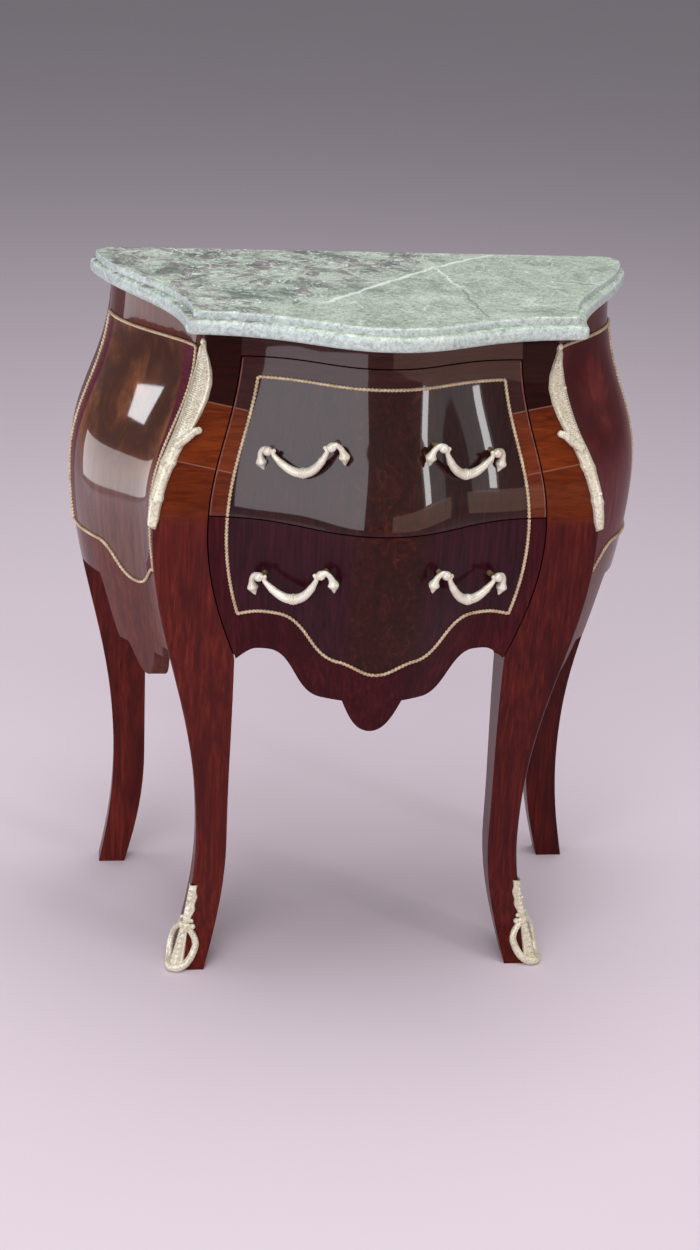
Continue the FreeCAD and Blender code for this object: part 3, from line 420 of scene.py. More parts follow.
# A side's flame in hollows, crests and streaks, then its plain part below
FLAMES = ((66, 31, 18), (150, 88, 46), (62, 29, 20), (70, 40, 34), (104, 64, 54), (124, 82, 68))
# The right side's flame is the same veneer as the left's, painted plum-tinted as a painted reflection and
# redder as painted light
PLUM_REFLECTION_FLAMES = ((76, 26, 27), (126, 54, 48), (68, 24, 27), (72, 26, 31), (106, 42, 47), (126, 58, 61))

SEAM_HEIGHTS = (0.604, 0.670)
SEAM_HALF = 0.158
SEAM_SLOPE_SHARE = 0.20
SEAM_BLUR, SEAM_WIDTH = 0.0006, 0.0011
SEAM_SHADE = (146, 98, 80)


def crossbanded(paint, colour, shadow_shades):
    """Brown and orange crossbanding parted by seams above the split, under painted shadow from the marble."""
    height = paint.axes["Z"]
    across = paint.noise(paint.stretched(30.0, 30.0, 210.0), 1.0, 5.0, 0.6, 0.6)
    orange = paint.ramp(across, *zip((0.25, 0.55, 0.85), ORANGES))
    band = paint.ramp(across, *zip((0.25, 0.60, 0.90), UMBERS))
    # Painted shadow: the darkest band, where the marble's overhang shades the top of the front
    shadowed = paint.ramp(across, *zip((0.25, 0.70, 1.0), shadow_shades))
    # The orange band is the veneer's own colour brightened by painted light, and it fades upward into the
    # painted shadow
    orange = paint.mix(paint.times(paint.step(height, 0.635, 0.690), 0.45), orange, shadowed)
    outward = paint.less(paint.math("ABSOLUTE", paint.axes["X"]), SEAM_HALF)
    slanted = paint.less(height, paint.times(outward, SEAM_SLOPE_SHARE))
    for seam, above in zip(SEAM_HEIGHTS, (orange, shadowed)):
        band = paint.mix(paint.step(slanted, seam - SEAM_BLUR, seam + SEAM_BLUR), band, above)
    seams = [paint.near(slanted, seam, SEAM_WIDTH) for seam in SEAM_HEIGHTS]
    band = paint.tint(band, SEAM_SHADE, paint.math("MAXIMUM", *seams), 0.85)
    forward = paint.step(paint.times(paint.facing("Y"), -1.0), 0.45, 0.65)
    upper = paint.step(height, SPLIT - 0.014, SPLIT + 0.006)
    return paint.mix(paint.times(forward, upper), colour, band)


def polished(name, gloss, scales, stops, shades, cloud=None, shadow_shades=None):
    """Polished wood, clouded by its fourth shade and crossbanded on the front where those are given."""
    paint = Paint(name)
    fibre, figure, pores = grain(paint, *scales)
    colour = paint.ramp(fibre, *zip(stops, shades))
    if cloud:
        colour = paint.tint(colour, shades[3], paint.step(figure, *cloud))
    if shadow_shades:
        colour = crossbanded(paint, colour, shadow_shades)
    return lacquer(paint, colour, pores, gloss)


def mahogany(name, gloss, shades, shadow_shades=None):
    return polished(name, gloss, (260.0, 260.0, 16.0), (0.25, 0.52, 0.80), shades, (0.42, 0.75),
                    shadow_shades)


BAND_X, BAND_WANDER = 0.006, 0.016
BAND_INNER, BAND_OUTER = 0.034, 0.048


def field_veneer(name, gloss, shades):
    """The dark field of the drawer fronts, with a redder figured band down the middle."""
    paint = Paint(name)
    fibre, figure, pores = grain(paint, 240.0, 120.0, 14.0)
    mottle = paint.noise(paint.stretched(70.0, 40.0, 55.0), 1.0, 5.0, 0.65, 1.6)
    dark = paint.ramp(fibre, *zip((0.30, 0.58, 0.85), shades))
    red = paint.ramp(mottle, *zip((0.28, 0.55, 0.80), FIELD_REDS))
    red = paint.tint(red, (40, 14, 12), paint.step(fibre, 0.45, 0.75))
    wander = paint.times(paint.less(figure, 0.5), BAND_WANDER)
    aside = paint.math("ADD", paint.math("ABSOLUTE", paint.less(paint.axes["X"], BAND_X)), wander)
    band = paint.less(1.0, paint.step(aside, BAND_INNER, BAND_OUTER))
    return lacquer(paint, paint.mix(band, dark, red), pores, gloss)


FLAME_KNOT, FLAME_SQUASH = (0.0, 0.035, 0.655), (0.0, 1.0, 0.62)
FLAME_RINGS, FLAME_SWIRL = 62.0, 5.0


def side_veneer(name, gloss, shades):
    """The flame-figured veneer of the side panels, curling round a knot in the upper part."""
    paint = Paint(name)
    hollow, crest, streak = shades[:3]
    fibre, _, pores = grain(paint, 120.0, 200.0, 16.0)
    flat = paint.vector("MULTIPLY", paint.vector("SUBTRACT", paint.place, FLAME_KNOT), FLAME_SQUASH)
    swirl = paint.noise(paint.stretched(28.0, 28.0, 20.0), 1.0, 4.0, 0.6, 0.8)
    ring = paint.times(paint.vector("LENGTH", flat), FLAME_RINGS)
    rings = paint.math("ADD", ring, paint.times(swirl, FLAME_SWIRL))
    wave = paint.times(paint.math("ADD", paint.math("SINE", rings), 1.0), 0.5)
    flame = paint.tint(srgb(*hollow), crest, wave, 0.85)
    flame = paint.tint(flame, streak, paint.step(fibre, 0.48, 0.78), 0.7)
    plain = paint.ramp(fibre, *zip((0.28, 0.60, 0.85), shades[3:]))
    upper = paint.step(paint.axes["Z"], 0.545, 0.60)
    return lacquer(paint, paint.mix(upper, plain, flame), pores, gloss)


def plain_wood(name, x, y, z):
    """Unpolished drawer and case wood behind the fronts, with its grain along the smallest scale."""
    paint = Paint(name)
    fibre, figure, pores = grain(paint, x, y, z)
    colour = paint.ramp(fibre, *zip((0.25, 0.55, 0.85), INNER_TANS))
    colour = paint.tint(colour, INNER_TANS[3], figure, 0.5)
    paint.bump(pores, 0.15, 0.0006)
    return paint.finish(colour, Roughness=0.62)


# Lines in the marble's upper face: where each starts and ends, and its half width
PALE_VEINS = (((-0.060, -0.066), (0.077, 0.099), 0.0050), ((0.077, 0.099), (0.150, 0.163), 0.0040),
              ((0.077, 0.096), (0.090, 0.005), 0.0024))
CRACKS = (((0.090, 0.005), (0.101, -0.112), 0.0022), ((0.205, 0.045), (0.262, 0.020), 0.0028))
VEIN_OVERRUN, VEIN_FADE = 0.012, 0.006
# The slanting line where the mauve part begins
SLANT_X, SLANT_Y = 0.77, 0.64
SLANT_START, SLANT_FULL = -0.016, 0.050


def veins(paint, place, lines):
    """1 along wandering lines in the marble."""
    total = 0.0
    for start, end, width in lines:
        run = Vector(end) - Vector(start)
        along = run.normalized()
        offset = paint.vector("SUBTRACT", place, (*start, 0.0))
        travel = paint.vector("DOT_PRODUCT", offset, (along.x, along.y, 0.0))
        away = paint.vector("DOT_PRODUCT", offset, (-along.y, along.x, 0.0))
        begun = paint.step(travel, -VEIN_OVERRUN, VEIN_FADE)
        ended = paint.step(travel, run.length - VEIN_FADE, run.length + VEIN_OVERRUN)
        inside = paint.times(begun, paint.less(1.0, ended))
        total = paint.math("MAXIMUM", total, paint.times(paint.near(away, 0.0, width), inside))
    return total


def green_marble():
    """Grey-green marble with white clouds, mauve patches behind and left of its pale crossing vein."""
    paint = Paint("green_marble")
    warp = paint.noise(paint.place, 14.0, 5.0, output="Color")
    bent = paint.vector("MULTIPLY_ADD", warp, (0.05, 0.05, 0.05), paint.place)
    fine_warp = paint.vector("SUBTRACT", paint.noise(paint.place, 55.0, 4.0, output="Color"), (0.5, 0.5, 0.5))
    wander = paint.vector("MULTIPLY_ADD", fine_warp, (0.016, 0.016, 0.0), paint.place)
    cloud = paint.noise(bent, 20.0, 9.0, 0.72, 0.3)
    grit = paint.noise(bent, 210.0, 6.0, 0.78)
    sand = paint.noise(paint.place, 620.0, 3.0, 0.7)
    patches = paint.step(paint.noise(bent, 34.0, 7.0, 0.72, 0.8), 0.48, 0.56)
    flecks = paint.step(paint.noise(bent, 88.0, 6.0, 0.75, 1.2), 0.54, 0.62)
    colour = paint.ramp(cloud, (0.30, (124, 136, 120)), (0.46, (172, 184, 168)), (0.60, (198, 208, 193)),
                        (0.76, (228, 235, 224)))
    slant = paint.less(paint.times(paint.axes["Y"], SLANT_Y), paint.times(paint.axes["X"], SLANT_X))
    leftward = paint.step(slant, SLANT_START, SLANT_FULL)
    shots = paint.add("ShaderNodeTexVoronoi", {"feature": "DISTANCE_TO_EDGE"}, Vector=bent, Scale=19.0)
    threads = paint.less(1.0, paint.step(shots.outputs[0], 0.0, 0.030))
    layers = (((222, 228, 218), paint.step(grit, 0.52, 0.64), 0.75),
              ((92, 102, 90), paint.step(grit, 0.48, 0.36), 0.75),
              ((96, 104, 94), paint.step(sand, 0.52, 0.38), 0.5),
              ((116, 102, 106), paint.times(leftward, patches), 0.8),
              ((80, 88, 84), paint.times(leftward, paint.step(cloud, 0.52, 0.38)), 0.7),
              ((228, 238, 232), paint.times(leftward, flecks), 0.8),
              ((232, 238, 232), paint.times(threads, patches), 0.55),
              ((232, 238, 230), veins(paint, wander, PALE_VEINS), 0.85),
              ((98, 110, 104), veins(paint, wander, CRACKS), 0.75))
    for shade, mask, strength in layers:
        colour = paint.tint(colour, shade, mask, strength)
    # Painted highlight: the moulded edge, where the surface turns away from the top, is mixed toward a pale
    # bluish white
    edge = paint.less(1.0, paint.step(paint.facing("Z"), 0.55, 0.97))
    edge_highlight_colour = paint.ramp(grit, (0.32, (142, 160, 156)), (0.50, (200, 214, 210)), (0.68, (232, 240, 238)))
    colour = paint.mix(paint.times(edge, 0.75), colour, edge_highlight_colour)
    paint.bump(grit, 0.04, 0.0004)
    return paint.finish(colour, Roughness=0.30, Specular_IOR_Level=0.45)


def gilt_brass(name, shades, stipple):
    """Gilded brass in three shades from dark to pale, dull in its hollows and matted by stipples."""
    paint = Paint(name)
    cast = paint.noise(paint.place, 430.0, 3.0, 0.6)
    blotch = paint.noise(paint.place, 70.0, 3.0, 0.55)
    hollow = paint.add("ShaderNodeNewGeometry").outputs["Pointiness"]
    colour = paint.ramp(blotch, *zip((0.30, 0.55, 0.80), shades))
    colour = paint.tint(colour, (150, 130, 98), paint.step(hollow, 0.50, 0.44))
    colour = paint.tint(colour, (118, 108, 76), paint.step(cast, 0.52, 0.40), stipple)
    paint.bump(cast, 0.15 + 0.4 * stipple, 0.0008)
    rough = paint.add("ShaderNodeMapRange", Value=blotch, To_Min=0.28, To_Max=0.46)
    return paint.finish(colour, Metallic=0.32, Roughness=rough.outputs[0])


leg_wood = mahogany("polished_mahogany", 0.14, REDS, STILE_SHADOW_SHADES)
# Painted light: the left legs take a lighter copy of the leg mahogany
lit_left_leg_wood = mahogany("left_lit_mahogany", 0.14, LIT_REDS, STILE_SHADOW_SHADES)
front_wood = mahogany("front_mahogany", 0.70, REDS, RAIL_SHADOW_SHADES)
apron_wood = mahogany("apron_mahogany", 0.09, PLUMS)
side_wood = mahogany("side_mahogany", 0.60, BROWNS)
upper_field_wood = field_veneer("upper_field_veneer", 1.0, UPPER_DARKS)
lower_field_wood = field_veneer("lower_field_veneer", 0.22, LOWER_DARKS)
# The right side's veneer carries a painted plum reflection and painted light
flame_woods = {"left": side_veneer("left_side_veneer", 1.0, FLAMES),
               "right": side_veneer("right_side_veneer", 0.18, PLUM_REFLECTION_FLAMES)}
banding_wood = polished("side_banding_veneer", 0.16, (120.0, 60.0, 200.0), (0.28, 0.58, 0.85),
                        BAND_PLUMS, (0.45, 0.75))
# Painted highlight along the upper drawer's edges, drawn as a fine-grained pale wood
edge_highlight_wood = polished("edge_highlight_veneer", 0.14, (300.0, 300.0, 40.0), (0.30, 0.60, 0.85), EDGE_HIGHLIGHT_PALES)
inner_wood = plain_wood("inner_wood", 150.0, 12.0, 190.0)
cross_wood = plain_wood("cross_wood", 12.0, 150.0, 190.0)
upright_wood = plain_wood("upright_wood", 120.0, 150.0, 10.0)
marble = green_marble()
cast_brass = gilt_brass("cast_brass", ((222, 213, 186), (240, 234, 212), (250, 247, 233)), 0.38)
pull_brass = gilt_brass("pull_brass", ((226, 217, 194), (240, 234, 217), (250, 247, 238)), 0.12)
rope_brass = gilt_brass("rope_brass", ((188, 160, 126), (216, 192, 160), (236, 217, 189)), 0.26)
# A dark brass as painted shade: the post stems take it to read as the shadow behind the post heads, and the
# solids' hidden and inner brass takes it too
shade_dark_brass = gilt_brass("shade_dark_brass", ((104, 84, 58), (132, 110, 80), (160, 138, 104)), 0.35)

WOOD_OF = {"back_panel": upright_wood, "front_left_leg": lit_left_leg_wood, "back_left_leg": lit_left_leg_wood,
           "front_right_leg": leg_wood, "back_right_leg": leg_wood, "upper_drawer_front": front_wood,
           "top_front_rail": front_wood, "lower_drawer_front": apron_wood, "left_side_panel": side_wood,
           "right_side_panel": side_wood, "marble_top": marble}
BRASS_WORDS = ("nuts", "pins", "posts", "bail", "mount", "sabot", "border")

for name, node in nodes.items():
    material = cross_wood if name.endswith(("rail", "back")) else inner_wood
    material = WOOD_OF.get(name, material)
    if any(word in name for word in BRASS_WORDS):
        material = shade_dark_brass
    node.data.materials.clear()
    node.data.materials.append(material)

# Roped borders and the veneered fields inside them

BORDER_MIDDLE = 0.0021
BORDER_INSET = 0.0185 + BORDER_MIDDLE
BORDER_TOP = 0.704 - BORDER_MIDDLE
BORDER_CORNER = 0.444 + BORDER_MIDDLE
BORDER_ARCH = (0.106, 0.450 + BORDER_MIDDLE)
BORDER_STEP = (0.038, 0.402 + BORDER_MIDDLE)
BORDER_TIP = 0.388 + BORDER_MIDDLE
ROPE_RADIUS = 0.0017
ROPE_LIFT = 0.0010
ROPE_PITCH = 0.0084
ROPE_STEP = 0.0007
ROPE_SIDES = 10
ROPE_STRAND_SHARE = 0.26
FIELD_LIFT = 0.0004
NORMAL_REACH = 0.001
RUN_STEPS, WIDE_STEPS, WAVE_STEPS = 60, 120, 40
FIELD_ROWS, FIELD_COLUMNS = 70, 110


def border_half(height):
    return opening_half(max(height, BORDER_CORNER)) - BORDER_INSET


def lower_edge():
    """The border's wavy lower edge from its corner to the middle, as half widths and heights."""
    corner = border_half(BORDER_CORNER)
    (arch, arch_height), (step, step_height) = BORDER_ARCH, BORDER_STEP
    rise = (corner - arch) * FLANK_SHARE
    swing = (arch - step) * FLANK_SHARE
    dip = step_height - (step_height - BORDER_TIP) * CROWN_SHARE
    return [
        ((corner, corner - rise, arch + rise, arch), (BORDER_CORNER, arch_height, arch_height, arch_height)),
        ((arch, arch - swing, step + swing, step), (arch_height, arch_height, step_height, step_height)),
        ((step, step * FLANK_SHARE, step * CROWN_SHARE, 0.0), (step_height, dip, BORDER_TIP, BORDER_TIP)),
    ]


def edge_height(half):
    """The height of the border's lower edge at a distance from the middle."""
    for halves, heights in lower_edge():
        if halves[0] >= half >= halves[3]:
            return bezier(heights, share_of(halves, half))
    return BORDER_CORNER


def front_point(x, height, lift=0.0):
    return Vector((x, front_y(x, height) - lift, height))


def side_point(y, height, lift=0.0):
    return Vector((side_x(y, height) - lift, y, height))


def normal_of(surface, along, height):
    """The direction square to a surface, from two short steps on it."""
    across = surface(along + NORMAL_REACH, height) - surface(along - NORMAL_REACH, height)
    upward = surface(along, height + NORMAL_REACH) - surface(along, height - NORMAL_REACH)
    return across.cross(upward).normalized()


def front_normal(point):
    return normal_of(front_point, point.x, point.z)


def side_normal(point):
    return -normal_of(side_point, point.y, point.z)


def rope(form, path, normal_at):
    """A two-strand twisted rope laid along a path on a surface."""
    path = spaced(path, ROPE_STEP)
    rows = []
    for number, point in enumerate(path):
        normal = normal_at(point)
        beside = tangent_at(path, number).cross(normal).normalized()
        twist = 2 * pi * number * ROPE_STEP / ROPE_PITCH
        ring = []
        for turn in turns(ROPE_SIDES):
            radius = ROPE_RADIUS * (1 + ROPE_STRAND_SHARE * cos(2 * turn - 2 * twist))
            outward = normal * (ROPE_LIFT + radius * cos(turn))
            ring.append(point + outward + beside * (radius * sin(turn)))
        rows.append(ring)
    form.grid(rows, around=True, caps=True)


def front_rope(level, low, high):
    """The border of one drawer, between two heights."""
    form = Form()
    for side in (-1, 1):
        heights = stretch(max(low, BORDER_CORNER), min(high, BORDER_TOP), RUN_STEPS)
        rope(form, [front_point(side * border_half(z), z) for z in heights], front_normal)
    if high > BORDER_TOP:
        half = border_half(BORDER_TOP)
        rope(form, [front_point(x, BORDER_TOP) for x in stretch(-half, half, WIDE_STEPS)], front_normal)
    if low < BORDER_CORNER:
        for side in (-1, 1):
            path = []
            for halves, heights in lower_edge():
                for t in stretch(0, 1, WAVE_STEPS)[:-1]:
                    path.append(front_point(side * bezier(halves, t), bezier(heights, t)))
            path.append(front_point(0, BORDER_TIP))
            rope(form, path, front_normal)
    form.piece(f"{level}_drawer_rope", f"{level}_drawer", rope_brass, "gilt_brass", f"{level}_drawer_border")


def front_field(level, low, high, material):
    """The veneered field of one drawer front inside the border."""
    rows = []
    for share in stretch(0, 1, FIELD_ROWS):
        row = []
        for across in stretch(-1, 1, FIELD_COLUMNS):
            bottom = low
            if low < BORDER_CORNER:
                bottom = edge_height(abs(across) * border_half(BORDER_CORNER))
            height = bottom + share * (min(high, BORDER_TOP) - bottom)
            row.append(front_point(across * border_half(height), height, FIELD_LIFT))
        rows.append(row)
    Form().grid(rows).piece(f"{level}_drawer_field", f"{level}_drawer", material, "mahogany_veneer")


front_rope("upper", SPLIT + GAP / 2, DRAWER_TOP)
front_rope("lower", ANKLE, SPLIT - GAP / 2)
front_field("upper", SPLIT + GAP / 2, DRAWER_TOP, upper_field_wood)
front_field("lower", ANKLE, SPLIT - GAP / 2, lower_field_wood)

HIGHLIGHT_INSET, HIGHLIGHT_WIDTH, HIGHLIGHT_LIFT, HIGHLIGHT_STEPS = 0.0002, 0.0013, 0.0003, 40


def edge_highlight_line(low, high):
    """A pale line along both ends of the upper drawer front, painted as a highlight where its edges catch the
    light.
    """
    form = Form()
    for side in (-1, 1):
        rows = []
        for height in stretch(low, high, HIGHLIGHT_STEPS):
            outer = opening_half(height) - GAP - HIGHLIGHT_INSET
            ends = (outer - HIGHLIGHT_WIDTH, outer) if side > 0 else (-outer, HIGHLIGHT_WIDTH - outer)
            rows.append([front_point(x, height, HIGHLIGHT_LIFT) for x in ends])
        form.grid(rows)
    form.piece("upper_drawer_edge_highlight", "upper_drawer", edge_highlight_wood, "mahogany_veneer")


edge_highlight_line(SPLIT + GAP, DRAWER_TOP - GAP)

SIDE_TOP = 0.722 - BORDER_MIDDLE
SIDE_FRONT = STILE_Y + 0.002 + BORDER_MIDDLE
SIDE_REAR = BACK_LEG_Y - 0.011 - BORDER_MIDDLE
SIDE_FRONT_CORNER = 0.466 + BORDER_MIDDLE
SIDE_BACK_CORNER = 0.472 + BORDER_MIDDLE
SIDE_DIP = 0.438 + BORDER_MIDDLE
SIDE_DIP_HALF = 0.046
SIDE_BOW, SIDE_LEAN, SIDE_BOW_POWER = 0.020, 0.010, 0.68
BANDING = 0.022
SIDE_COLUMNS, BANDING_COLUMNS = 50, 12


def side_edge(y):
    """The height of the side border's lower edge."""
    forward = y < DIP_Y
    reach = DIP_Y - SIDE_FRONT if forward else SIDE_REAR - DIP_Y
    corner = SIDE_FRONT_CORNER if forward else SIDE_BACK_CORNER
    level = min(reach, SIDE_DIP_HALF)
    away = min(abs(y - DIP_Y), level)
    swing = level * FLANK_SHARE
    return bezier((SIDE_DIP, SIDE_DIP, corner, corner), share_of((0.0, swing, swing, level), away))


def side_front(height):
    """Where the side border's front run is: it bows towards the corner at the belly, as the corner does."""
    share = min(1.0, max(0.0, (height - SIDE_FRONT_CORNER) / (SIDE_TOP - SIDE_FRONT_CORNER)))
    return SIDE_FRONT + SIDE_LEAN * share * share - SIDE_BOW * sin(pi * share ** SIDE_BOW_POWER)


def side_grid(first, last, steps):
    """A patch of the side, between two edges that are given by where the border's front run is."""
    rows = []
    for share in stretch(0, 1, FIELD_ROWS):
        row = []
        for across in stretch(0, 1, steps):
            foot = first(SIDE_FRONT) + across * (last(SIDE_FRONT) - first(SIDE_FRONT))
            height = side_edge(foot) + share * (SIDE_TOP - side_edge(foot))
            front = side_front(height)
            row.append(side_point(first(front) + across * (last(front) - first(front)), height, FIELD_LIFT))
        rows.append(row)
    return rows


def side_pieces():
    """The roped border, the field and the crossbanding of both sides."""
    front, rear = SIDE_FRONT, SIDE_REAR
    runs = [[side_point(side_front(z), z) for z in stretch(side_edge(front), SIDE_TOP, RUN_STEPS)],
            [side_point(rear, z) for z in stretch(side_edge(rear), SIDE_TOP, RUN_STEPS)],
            [side_point(y, SIDE_TOP) for y in stretch(side_front(SIDE_TOP), rear, RUN_STEPS)],
            [side_point(y, side_edge(y)) for y in stretch(front, rear, WIDE_STEPS)]]
    form = Form()
    for run in runs:
        rope(form, run, side_normal)
    field = Form().grid(side_grid(lambda y: rear - BANDING, lambda y: y + BANDING, SIDE_COLUMNS))
    bands = Form().grid(side_grid(lambda y: rear, lambda y: rear - BANDING, BANDING_COLUMNS))
    bands.grid(side_grid(lambda y: y + BANDING, lambda y: y, BANDING_COLUMNS))
    for label in ("left", "right"):
        form.sided(label).piece(f"{label}_side_rope", "carcass", rope_brass, "gilt_brass",
                                f"{label}_side_border")
        field.sided(label).piece(f"{label}_side_field", "carcass", flame_woods[label], "mahogany_veneer")
        bands.sided(label).piece(f"{label}_side_banding", "carcass", banding_wood, "mahogany_veneer")


side_pieces()

# Blocks in the corners under the bottom rail, behind the ends of the apron

BLOCK_TOP, BLOCK_FOOT = 0.430, 0.382
BLOCK_FRONT, BLOCK_REAR = -0.0715, -0.0420
BLOCK_REACH, BLOCK_BED, BLOCK_BEVEL = 0.010, 0.002, 0.003
BLOCK_FOOT_SHARE = 0.30
BLOCK_STEPS = 16


def corner_block():
    """A bevelled glue block in the corner of the left leg and the bottom rail."""
    rows = []
    for share in stretch(0, 1, BLOCK_STEPS):
        height = BLOCK_FOOT + share * (BLOCK_TOP - BLOCK_FOOT)
        leg = -opening_half(height)
        inner = leg + BLOCK_REACH * (BLOCK_FOOT_SHARE + (1 - BLOCK_FOOT_SHARE) * share ** 0.5)
        outline = ((leg - BLOCK_BED, BLOCK_FRONT), (inner - BLOCK_BEVEL, BLOCK_FRONT),
                   (inner, BLOCK_FRONT + BLOCK_BEVEL), (inner, BLOCK_REAR - BLOCK_BEVEL),
                   (inner - BLOCK_BEVEL, BLOCK_REAR), (leg - BLOCK_BED, BLOCK_REAR))
        rows.append([Vector((x, y, height)) for x, y in outline])
    return Form().grid(rows, around=True, caps=True)


for label in ("left", "right"):
    # The blocks are of the dark leg mahogany so that the gap behind the apron reads dark: painted shade
    corner_block().sided(label).piece(f"{label}_corner_block", "carcass", leg_wood, "dark_mahogany")

# Cast corner mounts

MOUNT_TOP, MOUNT_BOTTOM = 0.737, 0.543
# The chute's outline: fall share, reach round the side and reach on the front, in metres
CHUTE = ((0.00, 0.0016, 0.0022), (0.05, 0.0045, 0.0042), (0.11, 0.0120, 0.0092), (0.20, 0.0190, 0.0150),
         (0.29, 0.0210, 0.0164), (0.38, 0.0195, 0.0152), (0.46, 0.0168, 0.0130), (0.53, 0.0145, 0.0106),
         (0.62, 0.0126, 0.0090), (0.80, 0.0092, 0.0072), (0.94, 0.0072, 0.0060), (1.00, 0.0032, 0.0032))
CHUTE_ROWS, CHUTE_COLUMNS = 380, 60
TAIL_START, TAIL_BLEND = 0.52, 0.025
KNOTS, KNOT_HALF, KNOT_SPREAD = (0.64, 0.83), 0.018, 0.16
BED = 0.0002
# The spur beside the chute: height, reach on the front and lift
SPUR = ((0.632, 0.002, 0.0034), (0.6395, 0.0080, 0.0042), (0.6455, 0.0130, 0.0044), (0.6475, 0.0182, 0.0040))
SPUR_BALL, TIP_BALL = 0.0039, 0.0030
PIN_FALLS, PIN_RADIUS = (0.22, 0.78), 0.0016
SABOT_PIN = (0.078, 0.0, 0.0046)


def chute_reach(fall):
    """How far the chute reaches round the side and on the front."""
    points = [Vector(entry) for entry in CHUTE]
    number = 0
    while number < len(points) - 2 and points[number + 1].x < fall:
        number += 1
    share = (fall - points[number].x) / (points[number + 1].x - points[number].x)
    smooth = curve_point(points, number, share)
    return smooth.y, smooth.z


def knots(fall):
    return sum(peak(fall, at, KNOT_HALF) for at in KNOTS)


def chute_relief(fall, t):
    """How far the casting stands out: a matted leaf in a smooth rim, then a reeded, knotted tail."""
    ends = min(1.0, fall / 0.03, (1.0 - fall) / 0.02)
    side = abs(t)
    tail = 1 / (1 + exp(-(fall - TAIL_START) / TAIL_BLEND))
    dome = sqrt(max(0.0, 1.0 - side ** (4 - 1.6 * tail)))
    rim = peak(side, 0.82, 0.11)
    mat = sin(2 * pi * (84 * fall + 0.7 * sin(9 * t)))
    mat *= sin(2 * pi * (7 * t + 0.6 * sin(41 * fall)))
    leaf = 0.0026 + 0.0008 * peak(t, 0.0, 0.13) + 0.0016 * rim + 0.00045 * mat * (1 - rim)
    if t < 0:
        leaf += 0.0014 * side
    reeds = 0.0058 + 0.0004 * cos(3 * pi * t) + 0.0010 * knots(fall)
    return ends * dome * (leaf * (1 - tail) + reeds * tail)


def chute_height(fall):
    return MOUNT_TOP - fall * (MOUNT_TOP - MOUNT_BOTTOM)


def chute():
    """The cast mount on the left corner, with a tip above and a spur at its side."""
    form = Form()
    rows = []
    for fall in stretch(0, 1, CHUTE_ROWS):
        lobe = 1 + 0.025 * cos(2 * pi * 13 * fall) * max(0.0, 1 - fall / 0.5)
        lobe += KNOT_SPREAD * knots(fall)
        aside, ahead = chute_reach(fall)
        row = []
        for t in stretch(-1, 1, CHUTE_COLUMNS):
            across = t * (ahead if t > 0 else aside) * lobe
            row.append(on_corner(chute_height(fall), across, chute_relief(fall, t) - BED))
        rows.append(row)
    form.grid(rows)
    form.ball(on_corner(MOUNT_TOP, 0.0, 0.0020), TIP_BALL, (1.0, 1.0, 1.3))
    spur = rounded([on_corner(*entry) for entry in SPUR])
    form.tube(spur, lambda share: 0.0056 - 0.0019 * share)
    form.ball(spur[-1], SPUR_BALL, (1.0, 0.9, 1.0))
    return form


def pin_heads():
    """The round heads of the pins that hold the chute and the sabot."""
    form = Form()
    for fall in PIN_FALLS:
        form.ball(on_corner(chute_height(fall), 0.0, chute_relief(fall, 0.0)), PIN_RADIUS)
    form.ball(on_corner(*SABOT_PIN), PIN_RADIUS)
    return form


LOOP_STEPS = 96
# The leaves inside and above the loop: foot, tip, lift and midrib
TONGUE = (0.0035, 0.0505, 0.0046, 0.0016)
SPEAR = (0.0525, 0.0985, 0.0036, 0.0012)
LEAF_ROWS, LEAF_COLUMNS, LEAF_BEADS = 60, 20, 8
COLLAR_HEIGHT, COLLAR_HALF, COLLAR_RADIUS = 0.0518, 0.008, 0.0030
# Beads at the ends of the collar and above it: height, distance from the arris and radius
COLLAR_BEADS = ((0.0506, 0.0092, 0.0034), (0.0571, 0.0062, 0.0026))
BEAD_LIFT = 0.0030


def leaf_on_corner(form, leaf, width_at):
    """A beaded leaf up the arris with a raised midrib and rim."""
    low, high, lift, rib = leaf
    rows = []
    for share in stretch(0, 1, LEAF_ROWS):
        height = low + share * (high - low)
        bead = 1 + 0.45 * cos(2 * pi * LEAF_BEADS * share)
        row = []
        for t in stretch(-1, 1, LEAF_COLUMNS):
            rim = peak(abs(t), 0.8, 0.14)
            raised = lift * (1 - t ** 6) * (0.62 + 0.3 * rim) + rib * bead * peak(t, 0.0, 0.3)
            row.append(on_corner(height, t * width_at(share), raised - BED))
        rows.append(row)
    form.grid(rows)


def tongue_width(share):
    """The tongue inside the loop: broad at the floor and narrow under the collar."""
    return 0.0132 - 0.0088 * share ** 0.7


def spear_width(share):
    """The lobed leaf above the collar, waisted at its foot and blunt at its tip."""
    body = sin(pi * min(1.0, 0.20 + 0.62 * share)) ** 1.2
    return (0.0024 + 0.0052 * body) * (1 + 0.10 * cos(2 * pi * 3 * share))


